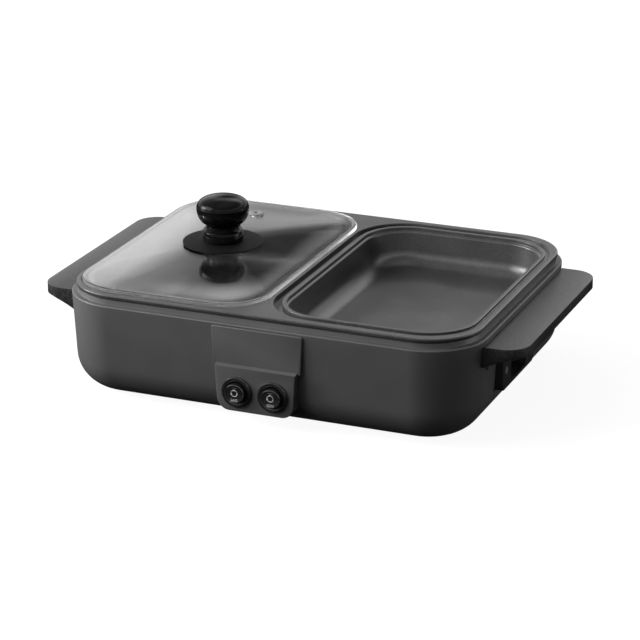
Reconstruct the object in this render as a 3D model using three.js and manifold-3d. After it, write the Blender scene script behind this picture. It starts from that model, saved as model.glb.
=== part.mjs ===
// Hot pot and grill combo: a low countertop cooker with a housing tray, a one-piece double pan,
// a glass lid over the hot pot side, two round rocker switches and a socket under the right handle.
// Units are millimetres, +X right, +Y back, +Z up. The origin is under the middle, on the table.
import * as THREE from 'three';
import { mergeVertices } from 'three/addons/utils/BufferGeometryUtils.js';
import Module from 'manifold-3d';

const wasm = await Module();
wasm.setup();

// General sizes
const seatGap = 0.3;              // running and seating clearance between separate pieces
const cutOverrun = 4;             // how far a cutter reaches past the face that it opens
const weldTolerance = 0.0001;     // distance under which two mesh corners are one
const cornerSteps = 8;            // facets in a quarter turn of a large plan corner
const filletSteps = 4;            // facets in a quarter turn of a bottom fillet
const smallSteps = 4;             // facets in a quarter turn of a hidden plan corner
const flangeSteps = 2;            // facets in a quarter turn of a small bracket's corner
const slotSteps = 1;              // facets in a quarter turn of a slot's end
const roundSides = 10;            // sides of small round pieces
const bezelSides = 20;            // sides of the switch bezels
const smoothSides = 28;           // sides of the knob and its disc
const panelSteps = 4;             // facets in a rounded corner of the control panel
const handleSteps = 4;            // facets in a rounded edge of a handle
const trunnionSides = 12;         // sides of a rocker's trunnions
const pinSides = 16;              // sides of the inlet's pins

// Housing
const footHeight = 2;             // gap between the housing and the table
const housingLength = 323;        // along X, at the ledge
const housingDepth = 256;         // along Y, at the ledge
const housingCorner = 45;         // plan corner radius at the ledge
const ledgeHeight = 76.5;         // top of the ledge above the table
const ledgeRound = 0.9;           // broken outer edge of the ledge
const wallDraft = 4;              // how far a wall leans in from the ledge to the bottom
const bottomFillet = 26;          // radius between wall and bottom
const housingWall = 2.6;          // moulded wall
const collarHeight = 3.9;         // collar that carries the pan, above the ledge
const collarSetback = 4.3;        // from the ledge's edge in to the collar
const collarWall = 2.4;
const openingInset = 60.75;       // from the ledge line in to the service opening in the bottom
const openingCorner = 12;
const openingLip = 10.3;          // width of the lip that the base cover lies against
const lipThickness = 2.6;
const lipMargin = 4;              // lip material outside the cover's edge

// Double pan
const rimRise = 7.5;              // top of the rim above the ledge
const flangeSetback = 3.5;        // from the ledge line in to the flange
const flangeCorner = 41.5;
const flangeRound = 0.9;          // rolled upper and lower edges of the flange
const locatorDepth = 2.5;         // rib below the flange that sits inside the collar
const panWall = 2.6;
const divideX = -3.6;             // middle of the web between the two wells
const webLeft = 10.4;             // from that middle to the hot pot well
const webRight = 10;              // and to the grill well
const lipRadius = 0.7;            // broken edges of the channel and lip

// Hot pot well and the lid seat round it
const potSideMargin = 11.5;       // from the flange's left edge to the well
const potEndMargin = 15;          // from the flange's front and back edges
const potCorner = 30;
const potFloorHeight = 33;        // inner floor above the table
const potDraft = 5;
const potFillet = 16;
const seatDepth = 2.3;            // lid seat below the rim

// Grill well, its raised lip and the channel round the lip
const grillSideMargin = 10.2;     // from the flange's right edge to the well
const grillEndMargin = 15.4;
const grillCorner = 34.5;
const grillStepDepth = 3.1;       // upright part below the lip
const grillStepWidth = 1.5;       // rounded step below the upright part
const grillStepFall = 0.5;        // drop of the step's rounded shoulder
const grillDepth = 28.5;          // from the rim down to the floor
const grillDraft = 4;
const grillFillet = 11;
const lipWidth = 3;               // raised lip
const channelFront = 5.9;         // channel width along the front and back
const channelRight = 3.4;         // channel width along the right side
const channelLeft = 4.4;          // channel width along the divider
const channelDepth = 1.8;         // at the right side
const channelFall = 3;            // extra depth at the divider, so that it drains there

// Lid
const lidLap = 8;                 // how far the lid reaches past the well
const lidCorner = 36;
const glassThickness = 4;
const lidCrown = 5;               // rise from the edge to the middle
const lidFlatShare = 0.93;        // share of the half size where the crown starts
const lidRings = 5;
const lidEdgeRound = 0.8;
const ventOffset = 6.75;          // steam vent, left of the knob's axis
const ventEdge = 38.5;            // and from the lid's back edge
const ventHole = 4;               // radius of the hole in the glass
const ventHeadRadius = 6;
const ventHeadHeight = 1.6;
const ventBore = 1.5;
const ventStemReach = 1.5;        // stem below the glass
const knobHole = 3.2;             // radius of the hole in the glass

// Knob
const discRadius = 30.8;
const discThickness = 1.8;
const discRise = 0.3;             // how far the disc's middle stands above its edge
const discEdge = 1.1;             // thickness at the edge
const footRadius = 15.5;
const knobOutline = [             // radius and height above the foot, up to the crown
  [15.5, 0], [15.2, 8.2], [13.3, 8.8], [13.3, 12.2], [16.8, 15.2], [18.8, 18.4], [19.9, 21.6],
  [20.1, 26.8], [19.7, 29.2], [18, 31.5], [13, 33.3], [6.5, 34.4], [0, 34.7],
];
const knobBore = 2.3;
const knobBoreDepth = 15;
const washerRadius = 9;
const washerThickness = 1.4;
const knobScrewRadius = 2;
const knobScrewHead = 4.4;
const knobScrewHeadTall = 2.4;
const knobScrewGrip = 11;         // thread inside the knob

// Control panel
const panelX = 3;                 // middle of the panel
const panelProud = 1.3;           // upper plate in front of the ledge line
const panelDrop = 1.9;            // top of the panel below the ledge
const panelTopHalf = 35.3;
const panelStepHeight = 47;       // where the lower block starts
const panelStepHalf = 34;
const panelBlockProud = 4.8;      // lower block in front of the ledge line
const panelBlockHalf = 31.4;
const panelBlockInset = 2;        // narrowing of the block towards its bottom
const panelChamfer = 2;           // height of the sloping top of the block
const panelBottomHeight = 12.3;
const panelBottomRound = 9;
const panelWall = 2.5;
const panelBack = 22;             // how deep the panel's sides reach behind the ledge line
const panelEdge = 1;              // broken front edges

// Switches
const switchPitch = 28;
const switchHeight = 27.5;
const bezelRadius = 11.6;
const bezelThick = 2;
const bezelRound = 0.7;
const barrelRadius = 9.8;
const barrelDepth = 15;
const rockerWell = 8.1;           // radius of the opening for the rocker
const rockerWellDepth = 9;
const rockerSteps = 12;           // facets round the rocker's edge, for each half
const rockerHalfWidth = 7.6;
const rockerHalfTall = 7.1;
const rockerProud = 3.2;          // rocker in front of the bezel
const rockerInner = 3.4;          // rocker behind the bezel's front
const pivotDepth = 1.6;           // pivot behind the bezel's front
const trunnionRadius = 1.1;
const trunnionReach = 1.2;        // trunnion beyond the rocker's side
const bladeWidth = 4.8;
const bladeThick = 0.8;
const bladeLength = 7;
const bladePitch = 5.6;

// Handles
const handleProjection = 28.5;    // how far a handle stands out from the ledge line
const handleEndInset = 35.5;      // from the housing's front and back to the handle's ends
const handleCorner = 18;
const handleDrop = 4.5;           // top of the handle below the ledge
const handleEdgeThick = 7.6;
const handleRootThick = 15.5;
const handleRootReach = 10;       // how far out the thick root starts to thin
const handleEdgeRound = 1.4;
const handleScrewInset = 37.5;    // from the handle's end
const handleScrewRadius = 1.8;
const handleScrewGrip = 11;
const screwHeadRadius = 3.4;
const screwHeadTall = 2;

// Inlet socket
const inletFront = -60;           // front end of the flange, from the middle of the housing
const inletBack = 10;
const inletProud = 4;             // flange beyond the ledge line
const inletDrop = 0.5;            // flange below the handle's root
const inletTall = 29;
const inletRecessLength = 34;
const inletSillLow = 3;           // flange below the recess
const inletSillHigh = 4;          // and above it
const inletRecessDepth = 16;
const inletWall = 2;
const inletBackWall = 2.5;
const inletRound = 3;
const pinRadius = 2;
const pinPitch = 14;
const pinTipSetback = 4.5;        // pin tip inside the recess mouth
const pinTail = 8;                // pin behind the socket's back wall
const inletScrewInset = 8;        // from the flange's end
const inletScrewGrip = 9;
const dimpleInset = 46;           // small blind dimple in the right wall, from the front
const dimpleDrop = 18.5;          // below the handle's top
const dimpleRadius = 2.6;
const dimpleDepth = 1.4;

// Feet and base cover
const footInset = 39.25;          // from the ledge line to the middle of a foot
const footRadiusLow = 6;
const footRadiusHigh = 7;
const footStem = 2.5;
const footBarb = 3.3;
const footBarbTall = 1.6;
const coverThickness = 2.4;
const coverBossRadius = 5;
const slotLength = 34;
const slotWidth = 3.2;
const slotPitch = 9;
const slotsPerRow = 8;
const slotRowY = 22;
const baseScrewRadius = 1.5;
const baseScrewHead = 3;
const baseScrewHeadTall = 1.3;
const baseScrewGrip = 6;
const lipBossRadius = 4;
const lipBossTall = 5;

// Heat shield
const shieldHeight = 14;          // underside above the table
const shieldThickness = 1.2;
const shieldInset = 33.25;        // from the ledge line to the shield's rim
const shieldCorner = 16;
const shieldRimTall = 5;
const shieldScrewInsetX = 30.75;  // from the service opening's edges
const shieldScrewInsetY = 17.25;
const shieldScrewRadius = 1.5;
const shieldScrewGrip = 7;

// Tie bolts under the divider
const tieInset = 7.25;            // from the service opening's edge
const tieRadius = 2;
const tieHead = 4;
const tieHeadTall = 2.4;
const tieBossRadius = 5;
const tieBossLength = 40.7;       // below the flange
const tieGrip = 11;
const tieShieldHole = 4;          // radius of the hole that passes the bolt through the shield
const tieSeatThick = 3;           // material between bolt head and cover boss top

// Heaters, clamps and thermostats
const tubeRadius = 3.3;
const tubeSides = 8;
const tubeSteps = 30;
const legInset = 32;              // from a well's side to the middle of a heater leg
const heaterFrontInset = 33.5;    // from a well's front to the end of the tube
const heaterBackInset = 30.5;     // from a well's back to the bend
const terminalRadius = 1.4;
const terminalLength = 9;
const clampThickness = 1.6;
const clampOverhang = 8;          // clamp beyond the tube's middle
const clampHalfDepth = 11;
const tongueHalfWidth = 10;
const tongueReach = 46;
const clampBossRadius = 4;
const clampBossX = 15;
const clampScrewGrip = 5;
const thermostatRadius = 8;
const thermostatY = -34;
const fuseRadius = 2.2;
const fuseLength = 16;
const fuseLeadRadius = 0.7;
const fuseLeadLength = 7;
const fuseInsetX = 30.5;          // from the shield's rim to the middle of a fuse
const fuseInsetY = 33;

// Terminal block and leads
const earthSpotInset = 44;        // where the earth lead ends, from the shield's right rim
const earthSpotY = 18;
const blockInsetX = 68;           // from the shield's right rim to the middle of the block
const blockInsetY = 33;           // from the shield's front rim
const blockLength = 38;
const blockDepth = 15;
const blockTall = 11;
const blockWays = 3;
const blockNotchWidth = 2.2;      // notches between the ways
const blockNotchDepth = 4.4;
const wireHole = 1.7;
const leadRadius = 1.2;
const leadSides = 6;
const leadSteps = 12;
// Bends of each lead: two measured from its start, then two measured from its end
const lineLeadBends = [[-5.7, 0, -0.2], [-16.7, -3, -1.6], [13.3, 10.2, 0.5], [1.3, 6.2, 0]];
const neutralLeadBends = [[-5.7, 0, -0.2], [-17.7, -4, -1.8], [18, 16.2, 0.5], [1, 8.2, 0]];
const earthLeadBends = [[-4.7, 1, -1], [-13.7, 19, -18], [29, -8, 2.1], [12, 0, 0.1]];
const supplyLeadBends = [[-0.7, -6.2, 0.4], [-14.7, -21.2, 4], [17, 11.5, 3.1], [2, 6.5, 0.7]];
const grillLeadBends = [[0.5, 5.5, 1], [9, 11.5, 8.5], [-3, -8.7, -3.3], [-0.3, -3.7, -0.3]];
const potLeadBends = [[-1, 5.5, -0.5], [-12, 12.5, -2], [9, -11.7, -1.3], [1.4, -5.7, -0.2]];

// Derived places
const housingHalfX = housingLength / 2;
const housingHalfY = housingDepth / 2;
const collarTop = ledgeHeight + collarHeight;
const rimHeight = ledgeHeight + rimRise;
const grillFloorHeight = rimHeight - grillDepth;
const panelTopHeight = ledgeHeight - panelDrop;
const handleTopHeight = ledgeHeight - handleDrop;
const dimpleHeight = handleTopHeight - dimpleDrop;
const inletTopHeight = handleTopHeight - handleRootThick - inletDrop;
const inletBottomHeight = inletTopHeight - inletTall;
const inletRecessBottom = inletBottomHeight + inletSillLow;
const inletRecessTop = inletTopHeight - inletSillHigh;
const collarHalfX = housingHalfX - collarSetback;
const collarHalfY = housingHalfY - collarSetback;
const collarCorner = housingCorner - collarSetback;
const flangeBottom = collarTop + seatGap;
const tieBossBottom = flangeBottom - tieBossLength;
const flangeHalfX = housingHalfX - flangeSetback;
const flangeHalfY = housingHalfY - flangeSetback;
const potLeft = potSideMargin - flangeHalfX;
const potRight = divideX - webLeft;
const potHalfLength = (potRight - potLeft) / 2;
const potHalfDepth = flangeHalfY - potEndMargin;
const potCentreX = (potLeft + potRight) / 2;
const grillLeft = divideX + webRight;
const grillRight = flangeHalfX - grillSideMargin;
const grillHalfLength = (grillRight - grillLeft) / 2;
const grillHalfDepth = flangeHalfY - grillEndMargin;
const grillCentreX = (grillLeft + grillRight) / 2;
const lidHalfLength = potHalfLength + lidLap;
const lidHalfDepth = potHalfDepth + lidLap;
const ventX = potCentreX - ventOffset;
const ventY = lidHalfDepth - ventEdge;
const locatorHalfX = collarHalfX - collarWall - seatGap;
const locatorHalfY = collarHalfY - collarWall - seatGap;
const locatorCorner = collarCorner - collarWall - seatGap;
const seatHeight = rimHeight - seatDepth;
const potUnderside = potFloorHeight - panWall;
const grillUnderside = grillFloorHeight - panWall;
const lidBottom = seatHeight + seatGap;
const lidEdgeTop = lidBottom + glassThickness;
const lidTop = lidEdgeTop + lidCrown;
const bezelFace = housingHalfY + panelBlockProud + bezelThick;
const frontReach = bezelFace + rockerProud;
const frontBackShift = (frontReach - housingHalfY) / 2;
const handleReach = housingHalfX + handleProjection;
const handleHalfDepth = housingHalfY - handleEndInset;
const handleScrewY = handleHalfDepth - handleScrewInset;
const dimpleY = dimpleInset - housingHalfY;
const openingHalfLength = housingHalfX - openingInset;
const openingHalfDepth = housingHalfY - openingInset;
const footX = housingHalfX - footInset;
const footY = housingHalfY - footInset;
const shieldHalfLength = housingHalfX - shieldInset;
const shieldHalfDepth = housingHalfY - shieldInset;
const shieldScrewX = openingHalfLength - shieldScrewInsetX;
const shieldScrewY = openingHalfDepth - shieldScrewInsetY;
const tieY = openingHalfDepth - tieInset;
const fuseX = shieldHalfLength - fuseInsetX;
const fuseY = shieldHalfDepth - fuseInsetY;
const earthSpotX = shieldHalfLength - earthSpotInset;
const blockX = shieldHalfLength - blockInsetX;
const blockY = blockInsetY - shieldHalfDepth;
const lipTop = footHeight + coverThickness + seatGap + lipThickness;
const coverTop = footHeight + coverThickness;
const shieldTop = shieldHeight + shieldThickness;
const inletFace = housingHalfX + inletProud;
const inletMiddleY = (inletFront + inletBack) / 2;
const inletBodyBack = inletFace - inletRecessDepth - inletBackWall;
const inletPinHeight = (inletRecessBottom + inletRecessTop) / 2;
const boxSize = handleReach * 2;  // cutters that only have to be larger than the object

// Materials
const finish = (color, roughness, metalness = 0) =>
  new THREE.MeshStandardMaterial({ color, roughness, metalness });
const housingPlastic = finish(0x4b4b4c, 0.45);
const handlePlastic = finish(0x565656, 0.5);
const panCoating = finish(0x57575a, 0.38);
const blackPlastic = finish(0x151516, 0.3);
const knobPlastic = finish(0x101011, 0.12);
const switchPlastic = finish(0x18181a, 0.25);
const rubber = finish(0x1c1c1c, 0.8);
const steel = finish(0xa9abad, 0.35, 1);
const heaterSteel = finish(0x6f6a64, 0.5, 1);
const brass = finish(0xc9a75a, 0.3, 1);
const ceramic = finish(0xe6e1d6, 0.6);
const silicone = finish(0x2a2a2b, 0.6);
const wireRed = finish(0x8e2f2a, 0.5);
const wireBlue = finish(0x2f4a80, 0.5);
const wireGreen = finish(0x4d7a3a, 0.5);
const glass = finish(0xb9c0c2, 0.05);
glass.transparent = true;
glass.opacity = 0.35;

// Turns a closed geometry into a solid that can be joined and cut.
function solid(geometry) {
  const bare = new THREE.BufferGeometry();
  bare.setAttribute('position', geometry.getAttribute('position').clone());
  if (geometry.index) bare.setIndex(geometry.index.clone());
  const merged = mergeVertices(bare, weldTolerance);
  return new wasm.Manifold(new wasm.Mesh({
    numProp: 3,
    vertProperties: Float32Array.from(merged.getAttribute('position').array),
    triVerts: Uint32Array.from(merged.index.array),
  }));
}

// Turns a solid back into a geometry.
function surface(body) {
  const mesh = body.getMesh();
  const geometry = new THREE.BufferGeometry();
  geometry.setAttribute('position', new THREE.BufferAttribute(Float32Array.from(mesh.vertProperties), 3));
  geometry.setIndex(new THREE.BufferAttribute(Uint32Array.from(mesh.triVerts), 1));
  geometry.computeVertexNormals();
  return geometry;
}

// One level of a rounded rectangle: half sizes, corner radius, height and the middle in plan.
const level = (halfX, halfY, corner, z, x = 0, y = 0) => ({ halfX, halfY, corner, z, x, y });

// The corner points of a level, counter-clockwise from above.
function levelPoints({ halfX, halfY, corner, z, x, y }, steps) {
  const radius = Math.max(Math.min(corner, halfX, halfY), weldTolerance);
  const points = [];
  for (let quarter = 0; quarter < 4; quarter++) {
    const signX = quarter === 0 || quarter === 3 ? 1 : -1;
    const signY = quarter < 2 ? 1 : -1;
    for (let step = 0; step <= steps; step++) {
      const angle = (quarter + step / steps) * Math.PI / 2;
      points.push(new THREE.Vector3(
        x + signX * (halfX - radius) + radius * Math.cos(angle),
        y + signY * (halfY - radius) + radius * Math.sin(angle),
        z,
      ));
    }
  }
  return points;
}

// Skins a stack of point rings, lowest first. A capped stack is a solid body, and a ring stack
// runs up the outside and down the inside and closes on itself.
function skin(rings, capped = true) {
  const count = rings[0].length;
  const positions = rings.flat().flatMap((point) => [point.x, point.y, point.z]);
  const index = [];
  const bands = capped ? rings.length - 1 : rings.length;
  for (let band = 0; band < bands; band++) {
    const low = band * count;
    const high = ((band + 1) % rings.length) * count;
    for (let k = 0; k < count; k++) {
      const next = (k + 1) % count;
      index.push(low + k, low + next, high + next);
      index.push(low + k, high + next, high + k);
    }
  }
  if (capped) {
    const top = (rings.length - 1) * count;
    for (let k = 1; k < count - 1; k++) {
      index.push(0, k + 1, k);
      index.push(top, top + k, top + k + 1);
    }
  }
  const geometry = new THREE.BufferGeometry();
  geometry.setAttribute('position', new THREE.Float32BufferAttribute(positions, 3));
  geometry.setIndex(index);
  return geometry;
}

const stack = (levels, steps = cornerSteps) => solid(skin(levels.map((one) => levelPoints(one, steps))));

// A straight block with rounded plan corners between two heights.
const slab = (halfX, halfY, corner, low, high, x = 0, y = 0, steps = cornerSteps) =>
  stack([level(halfX, halfY, corner, low, x, y), level(halfX, halfY, corner, high, x, y)], steps);

// A box between two corners.
function box(x0, x1, y0, y1, z0, z1) {
  const geometry = new THREE.BoxGeometry(x1 - x0, y1 - y0, z1 - z0);
  geometry.translate((x0 + x1) / 2, (y0 + y1) / 2, (z0 + z1) / 2);
  return solid(geometry);
}

// A solid turned from [radius, height] pairs round an upright axis at x, y.
function turned(profile, x = 0, y = 0, sides = roundSides) {
  const points = profile.map(([radius, height]) => new THREE.Vector2(radius, height));
  const geometry = new THREE.LatheGeometry(points, sides);
  geometry.rotateX(Math.PI / 2);
  geometry.translate(x, y, 0);
  return solid(geometry);
}

// An upright rod between two heights.
const rod = (radius, low, high, x = 0, y = 0, sides = roundSides) =>
  turned([[0, low], [radius, low], [radius, high], [0, high]], x, y, sides);

// Lays an upright solid down so that its height runs out along +X, or out to the front along -Y.
const alongX = (body) => body.rotate([0, 90, 0]);
const alongFront = (body) => body.rotate([90, 0, 0]);

// A screw under a fixed head: the head lies below "seat" and the shank rises from it.
const screwUp = (shank, head, headTall, seat, grip, x, y) =>
  turned([[0, seat - headTall], [head, seat - headTall], [head, seat], [shank, seat],
    [shank, seat + grip], [0, seat + grip]], x, y);

// Levels of a bowl from its floor up to its top. "grow" moves every wall and the floor outwards.
function bowlLevels({ halfX, halfY, corner, top, floor, draft, fillet, x, grow = 0 }) {
  const radius = fillet + grow;
  const low = floor - grow;
  const levels = [];
  for (let step = 0; step <= filletSteps; step++) {
    const angle = step / filletSteps * Math.PI / 2;
    const z = low + radius * (1 - Math.cos(angle));
    const lean = draft * (top - z) / (top - low);
    const inset = lean + radius * (1 - Math.sin(angle)) - grow;
    levels.push(level(halfX - inset, halfY - inset, corner - inset, z, x));
  }
  levels.push(level(halfX + grow, halfY + grow, corner + grow, top, x));
  return levels;
}

// Housing body up to the ledge. "grow" gives the same form larger or smaller all round.
function housingForm(grow = 0, low = footHeight - grow, top = ledgeHeight) {
  const radius = bottomFillet + grow;
  const levels = [];
  for (let step = 0; step <= filletSteps + 2; step++) {
    const angle = step / (filletSteps + 2) * Math.PI / 2;
    const z = low + radius * (1 - Math.cos(angle));
    const lean = wallDraft * (ledgeHeight - z) / (ledgeHeight - footHeight);
    const inset = lean + radius * (1 - Math.sin(angle)) - grow;
    levels.push(level(housingHalfX - inset, housingHalfY - inset, housingCorner - inset, z));
  }
  const topLean = wallDraft * (ledgeHeight - top) / (ledgeHeight - footHeight) - grow;
  const edge = grow ? 0 : ledgeRound;
  if (edge) {
    levels.push(level(housingHalfX - topLean, housingHalfY - topLean, housingCorner - topLean, top - edge));
  }
  const inset = topLean + edge;
  levels.push(level(housingHalfX - inset, housingHalfY - inset, housingCorner - inset, top));
  return stack(levels);
}

// Everything within a seating gap of the housing's outside, which cuts the pieces fixed on it.
const housingSeat = housingForm(seatGap, footHeight - seatGap, ledgeHeight + seatGap);

const switchPlaces = [-1, 1].map((side) => panelX + side * switchPitch / 2);
const footPlaces = [[-footX, -footY], [footX, -footY], [-footX, footY], [footX, footY]];
const lipDiagonal = (openingCorner + openingLip / 2) * Math.SQRT1_2 - openingCorner;
const lipMiddleX = openingHalfLength + lipDiagonal;
const lipMiddleY = openingHalfDepth + lipDiagonal;
const baseScrewPlaces = [[-lipMiddleX, -lipMiddleY], [lipMiddleX, -lipMiddleY],
  [-lipMiddleX, lipMiddleY], [lipMiddleX, lipMiddleY]];
const shieldScrewPlaces = [[-shieldScrewX, -shieldScrewY], [shieldScrewX, -shieldScrewY],
  [-shieldScrewX, shieldScrewY], [shieldScrewX, shieldScrewY]];
const tiePlaces = [[divideX, -tieY], [divideX, tieY]];
const handleScrewHeight = handleTopHeight - handleRootThick / 2;
const inletScrewPlaces = [inletFront + inletScrewInset, inletBack - inletScrewInset];

// Housing tray with its collar, cover lip, bosses and openings
function makeHousing() {
  const inner = housingForm(-housingWall, footHeight + housingWall, ledgeHeight - housingWall);
  const mouthHalfX = collarHalfX - collarWall;
  const mouthHalfY = collarHalfY - collarWall;
  const mouth = slab(mouthHalfX, mouthHalfY, collarCorner - collarWall,
    ledgeHeight - housingWall - seatGap, collarTop + cutOverrun);
  const collar = slab(collarHalfX, collarHalfY, collarCorner, ledgeHeight - housingWall, collarTop);
  let body = housingForm().add(collar).subtract(inner).subtract(mouth);

  const lipEdge = openingLip + lipMargin;
  const lip = slab(openingHalfLength + lipEdge, openingHalfDepth + lipEdge, openingCorner + lipEdge,
    footHeight, lipTop, 0, 0, smallSteps);
  body = body.add(lip);
  for (const [x, y] of baseScrewPlaces) {
    body = body.add(rod(lipBossRadius, footHeight, lipTop + lipBossTall, x, y));
  }
  const coverPocket = slab(openingHalfLength + openingLip, openingHalfDepth + openingLip,
    openingCorner + openingLip, footHeight - cutOverrun, coverTop + seatGap, 0, 0, smallSteps);
  const opening = slab(openingHalfLength, openingHalfDepth, openingCorner,
    footHeight - cutOverrun, lipTop + cutOverrun, 0, 0, smallSteps);
  body = body.subtract(coverPocket).subtract(opening);
  for (const [x, y] of baseScrewPlaces) {
    const bore = rod(baseScrewRadius + seatGap, footHeight, lipTop + lipBossTall - lipThickness / 2, x, y);
    body = body.subtract(bore);
  }
  for (const [x, y] of footPlaces) {
    body = body.subtract(rod(footStem + seatGap, footHeight - cutOverrun, lipTop + cutOverrun, x, y));
  }

  // Window behind the control panel for the switch barrels
  const windowHalf = switchPitch / 2 + barrelRadius + panelWall;
  body = body.subtract(box(panelX - windowHalf, panelX + windowHalf,
    -housingHalfY - cutOverrun, -housingHalfY + bottomFillet,
    switchHeight - barrelRadius - seatGap, switchHeight + barrelRadius + panelWall));

  // Window for the inlet socket, and its screw holes
  const recessHalf = inletRecessLength / 2 + inletWall + seatGap;
  body = body.subtract(box(inletBodyBack, housingHalfX + cutOverrun,
    inletMiddleY - recessHalf, inletMiddleY + recessHalf,
    inletRecessBottom - inletWall - seatGap, inletRecessTop + inletWall + seatGap));
  for (const y of inletScrewPlaces) {
    const hole = alongX(rod(baseScrewRadius + seatGap, inletBodyBack, housingHalfX + cutOverrun));
    body = body.subtract(hole.translate([0, y, inletPinHeight]));
  }

  // Handle screw holes on both sides, and the dimple in the right wall
  for (const side of [-1, 1]) {
    for (const y of [-handleScrewY, handleScrewY]) {
      const hole = alongX(rod(handleScrewRadius + seatGap, collarHalfX - collarWall - cutOverrun,
        housingHalfX + cutOverrun));
      const placed = side > 0 ? hole : hole.mirror([1, 0, 0]);
      body = body.subtract(placed.translate([0, y, handleScrewHeight]));
    }
  }
  const dimpleLean = wallDraft * (ledgeHeight - dimpleHeight) / (ledgeHeight - footHeight);
  const dimpleBottom = housingHalfX - dimpleLean - dimpleDepth;
  const dimple = alongX(rod(dimpleRadius, dimpleBottom, housingHalfX + cutOverrun));
  return body.subtract(dimple.translate([0, dimpleY, dimpleHeight]));
}

// Base cover with vent slots and the bosses that carry the heat shield
function makeBaseCover() {
  const edge = openingLip - seatGap;
  let body = slab(openingHalfLength + edge, openingHalfDepth + edge, openingCorner + edge,
    footHeight, coverTop, 0, 0, smallSteps);
  for (const [x, y] of shieldScrewPlaces) {
    body = body.add(rod(coverBossRadius, footHeight, shieldHeight - seatGap, x, y));
  }
  const tieBossTop = footHeight + tieHeadTall + seatGap + tieSeatThick;
  for (const [x, y] of tiePlaces) {
    body = body.add(rod(tieHead + panelWall, footHeight, tieBossTop, x, y));
  }
  for (const [x, y] of shieldScrewPlaces) {
    body = body.subtract(rod(shieldScrewRadius + seatGap, shieldTop - shieldScrewGrip - seatGap,
      shieldHeight + cutOverrun, x, y));
  }
  for (const [x, y] of tiePlaces) {
    body = body.subtract(rod(tieHead + seatGap, footHeight - cutOverrun, tieBossTop - tieSeatThick, x, y));
    body = body.subtract(rod(tieRadius + seatGap, footHeight, tieBossTop + cutOverrun, x, y));
  }
  for (const [x, y] of baseScrewPlaces) {
    body = body.subtract(rod(baseScrewHead + seatGap, footHeight - cutOverrun,
      footHeight + baseScrewHeadTall, x, y));
    body = body.subtract(rod(baseScrewRadius + seatGap, footHeight, coverTop + cutOverrun, x, y));
  }
  for (const row of [-1, 1]) {
    for (let slot = 0; slot < slotsPerRow; slot++) {
      const x = (slot - (slotsPerRow - 1) / 2) * slotPitch;
      body = body.subtract(slab(slotWidth / 2, slotLength / 2, slotWidth / 2,
        footHeight - cutOverrun, coverTop + cutOverrun, x, row * slotRowY, slotSteps));
    }
  }
  return body;
}

const makeFoot = (x, y) => turned([
  [0, 0], [footRadiusLow, 0], [footRadiusHigh, (footHeight - seatGap) / 2],
  [footRadiusHigh, footHeight - seatGap], [footStem, footHeight - seatGap],
  [footStem, footHeight + housingWall + seatGap], [footBarb, footHeight + housingWall + seatGap],
  [footStem - seatGap, footHeight + housingWall + footBarbTall],
  [0, footHeight + housingWall + footBarbTall],
], x, y);

const makeBaseScrew = (x, y) => screwUp(baseScrewRadius, baseScrewHead, baseScrewHeadTall - seatGap,
  footHeight + baseScrewHeadTall - seatGap, coverThickness + baseScrewGrip - baseScrewHeadTall, x, y);

const makeTieBolt = (x, y) => screwUp(tieRadius, tieHead, tieHeadTall - seatGap,
  footHeight + tieHeadTall, tieBossBottom + tieGrip - footHeight - tieHeadTall, x, y);

// Front outline of the control panel: upper plate and, below the step, the narrower block
function panelOutline(halfTop, halfBottom, low, high, round) {
  const shape = new THREE.Shape();
  shape.moveTo(-halfTop, high);
  shape.lineTo(-halfBottom, low + round);
  shape.quadraticCurveTo(-halfBottom, low, round - halfBottom, low);
  shape.lineTo(halfBottom - round, low);
  shape.quadraticCurveTo(halfBottom, low, halfBottom, low + round);
  shape.lineTo(halfTop, high);
  shape.closePath();
  return shape;
}

// Extrudes an outline drawn in X and Z so that it runs back from "front" by "depth".
function frontPlate(shape, front, depth, edge = 0) {
  const geometry = new THREE.ExtrudeGeometry(shape, {
    depth: depth - edge, curveSegments: panelSteps, bevelEnabled: edge > 0,
    bevelThickness: edge, bevelSize: edge, bevelOffset: -edge, bevelSegments: 1,
  });
  geometry.rotateX(Math.PI / 2);
  geometry.translate(panelX, -front + depth, 0);
  return solid(geometry);
}

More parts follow.
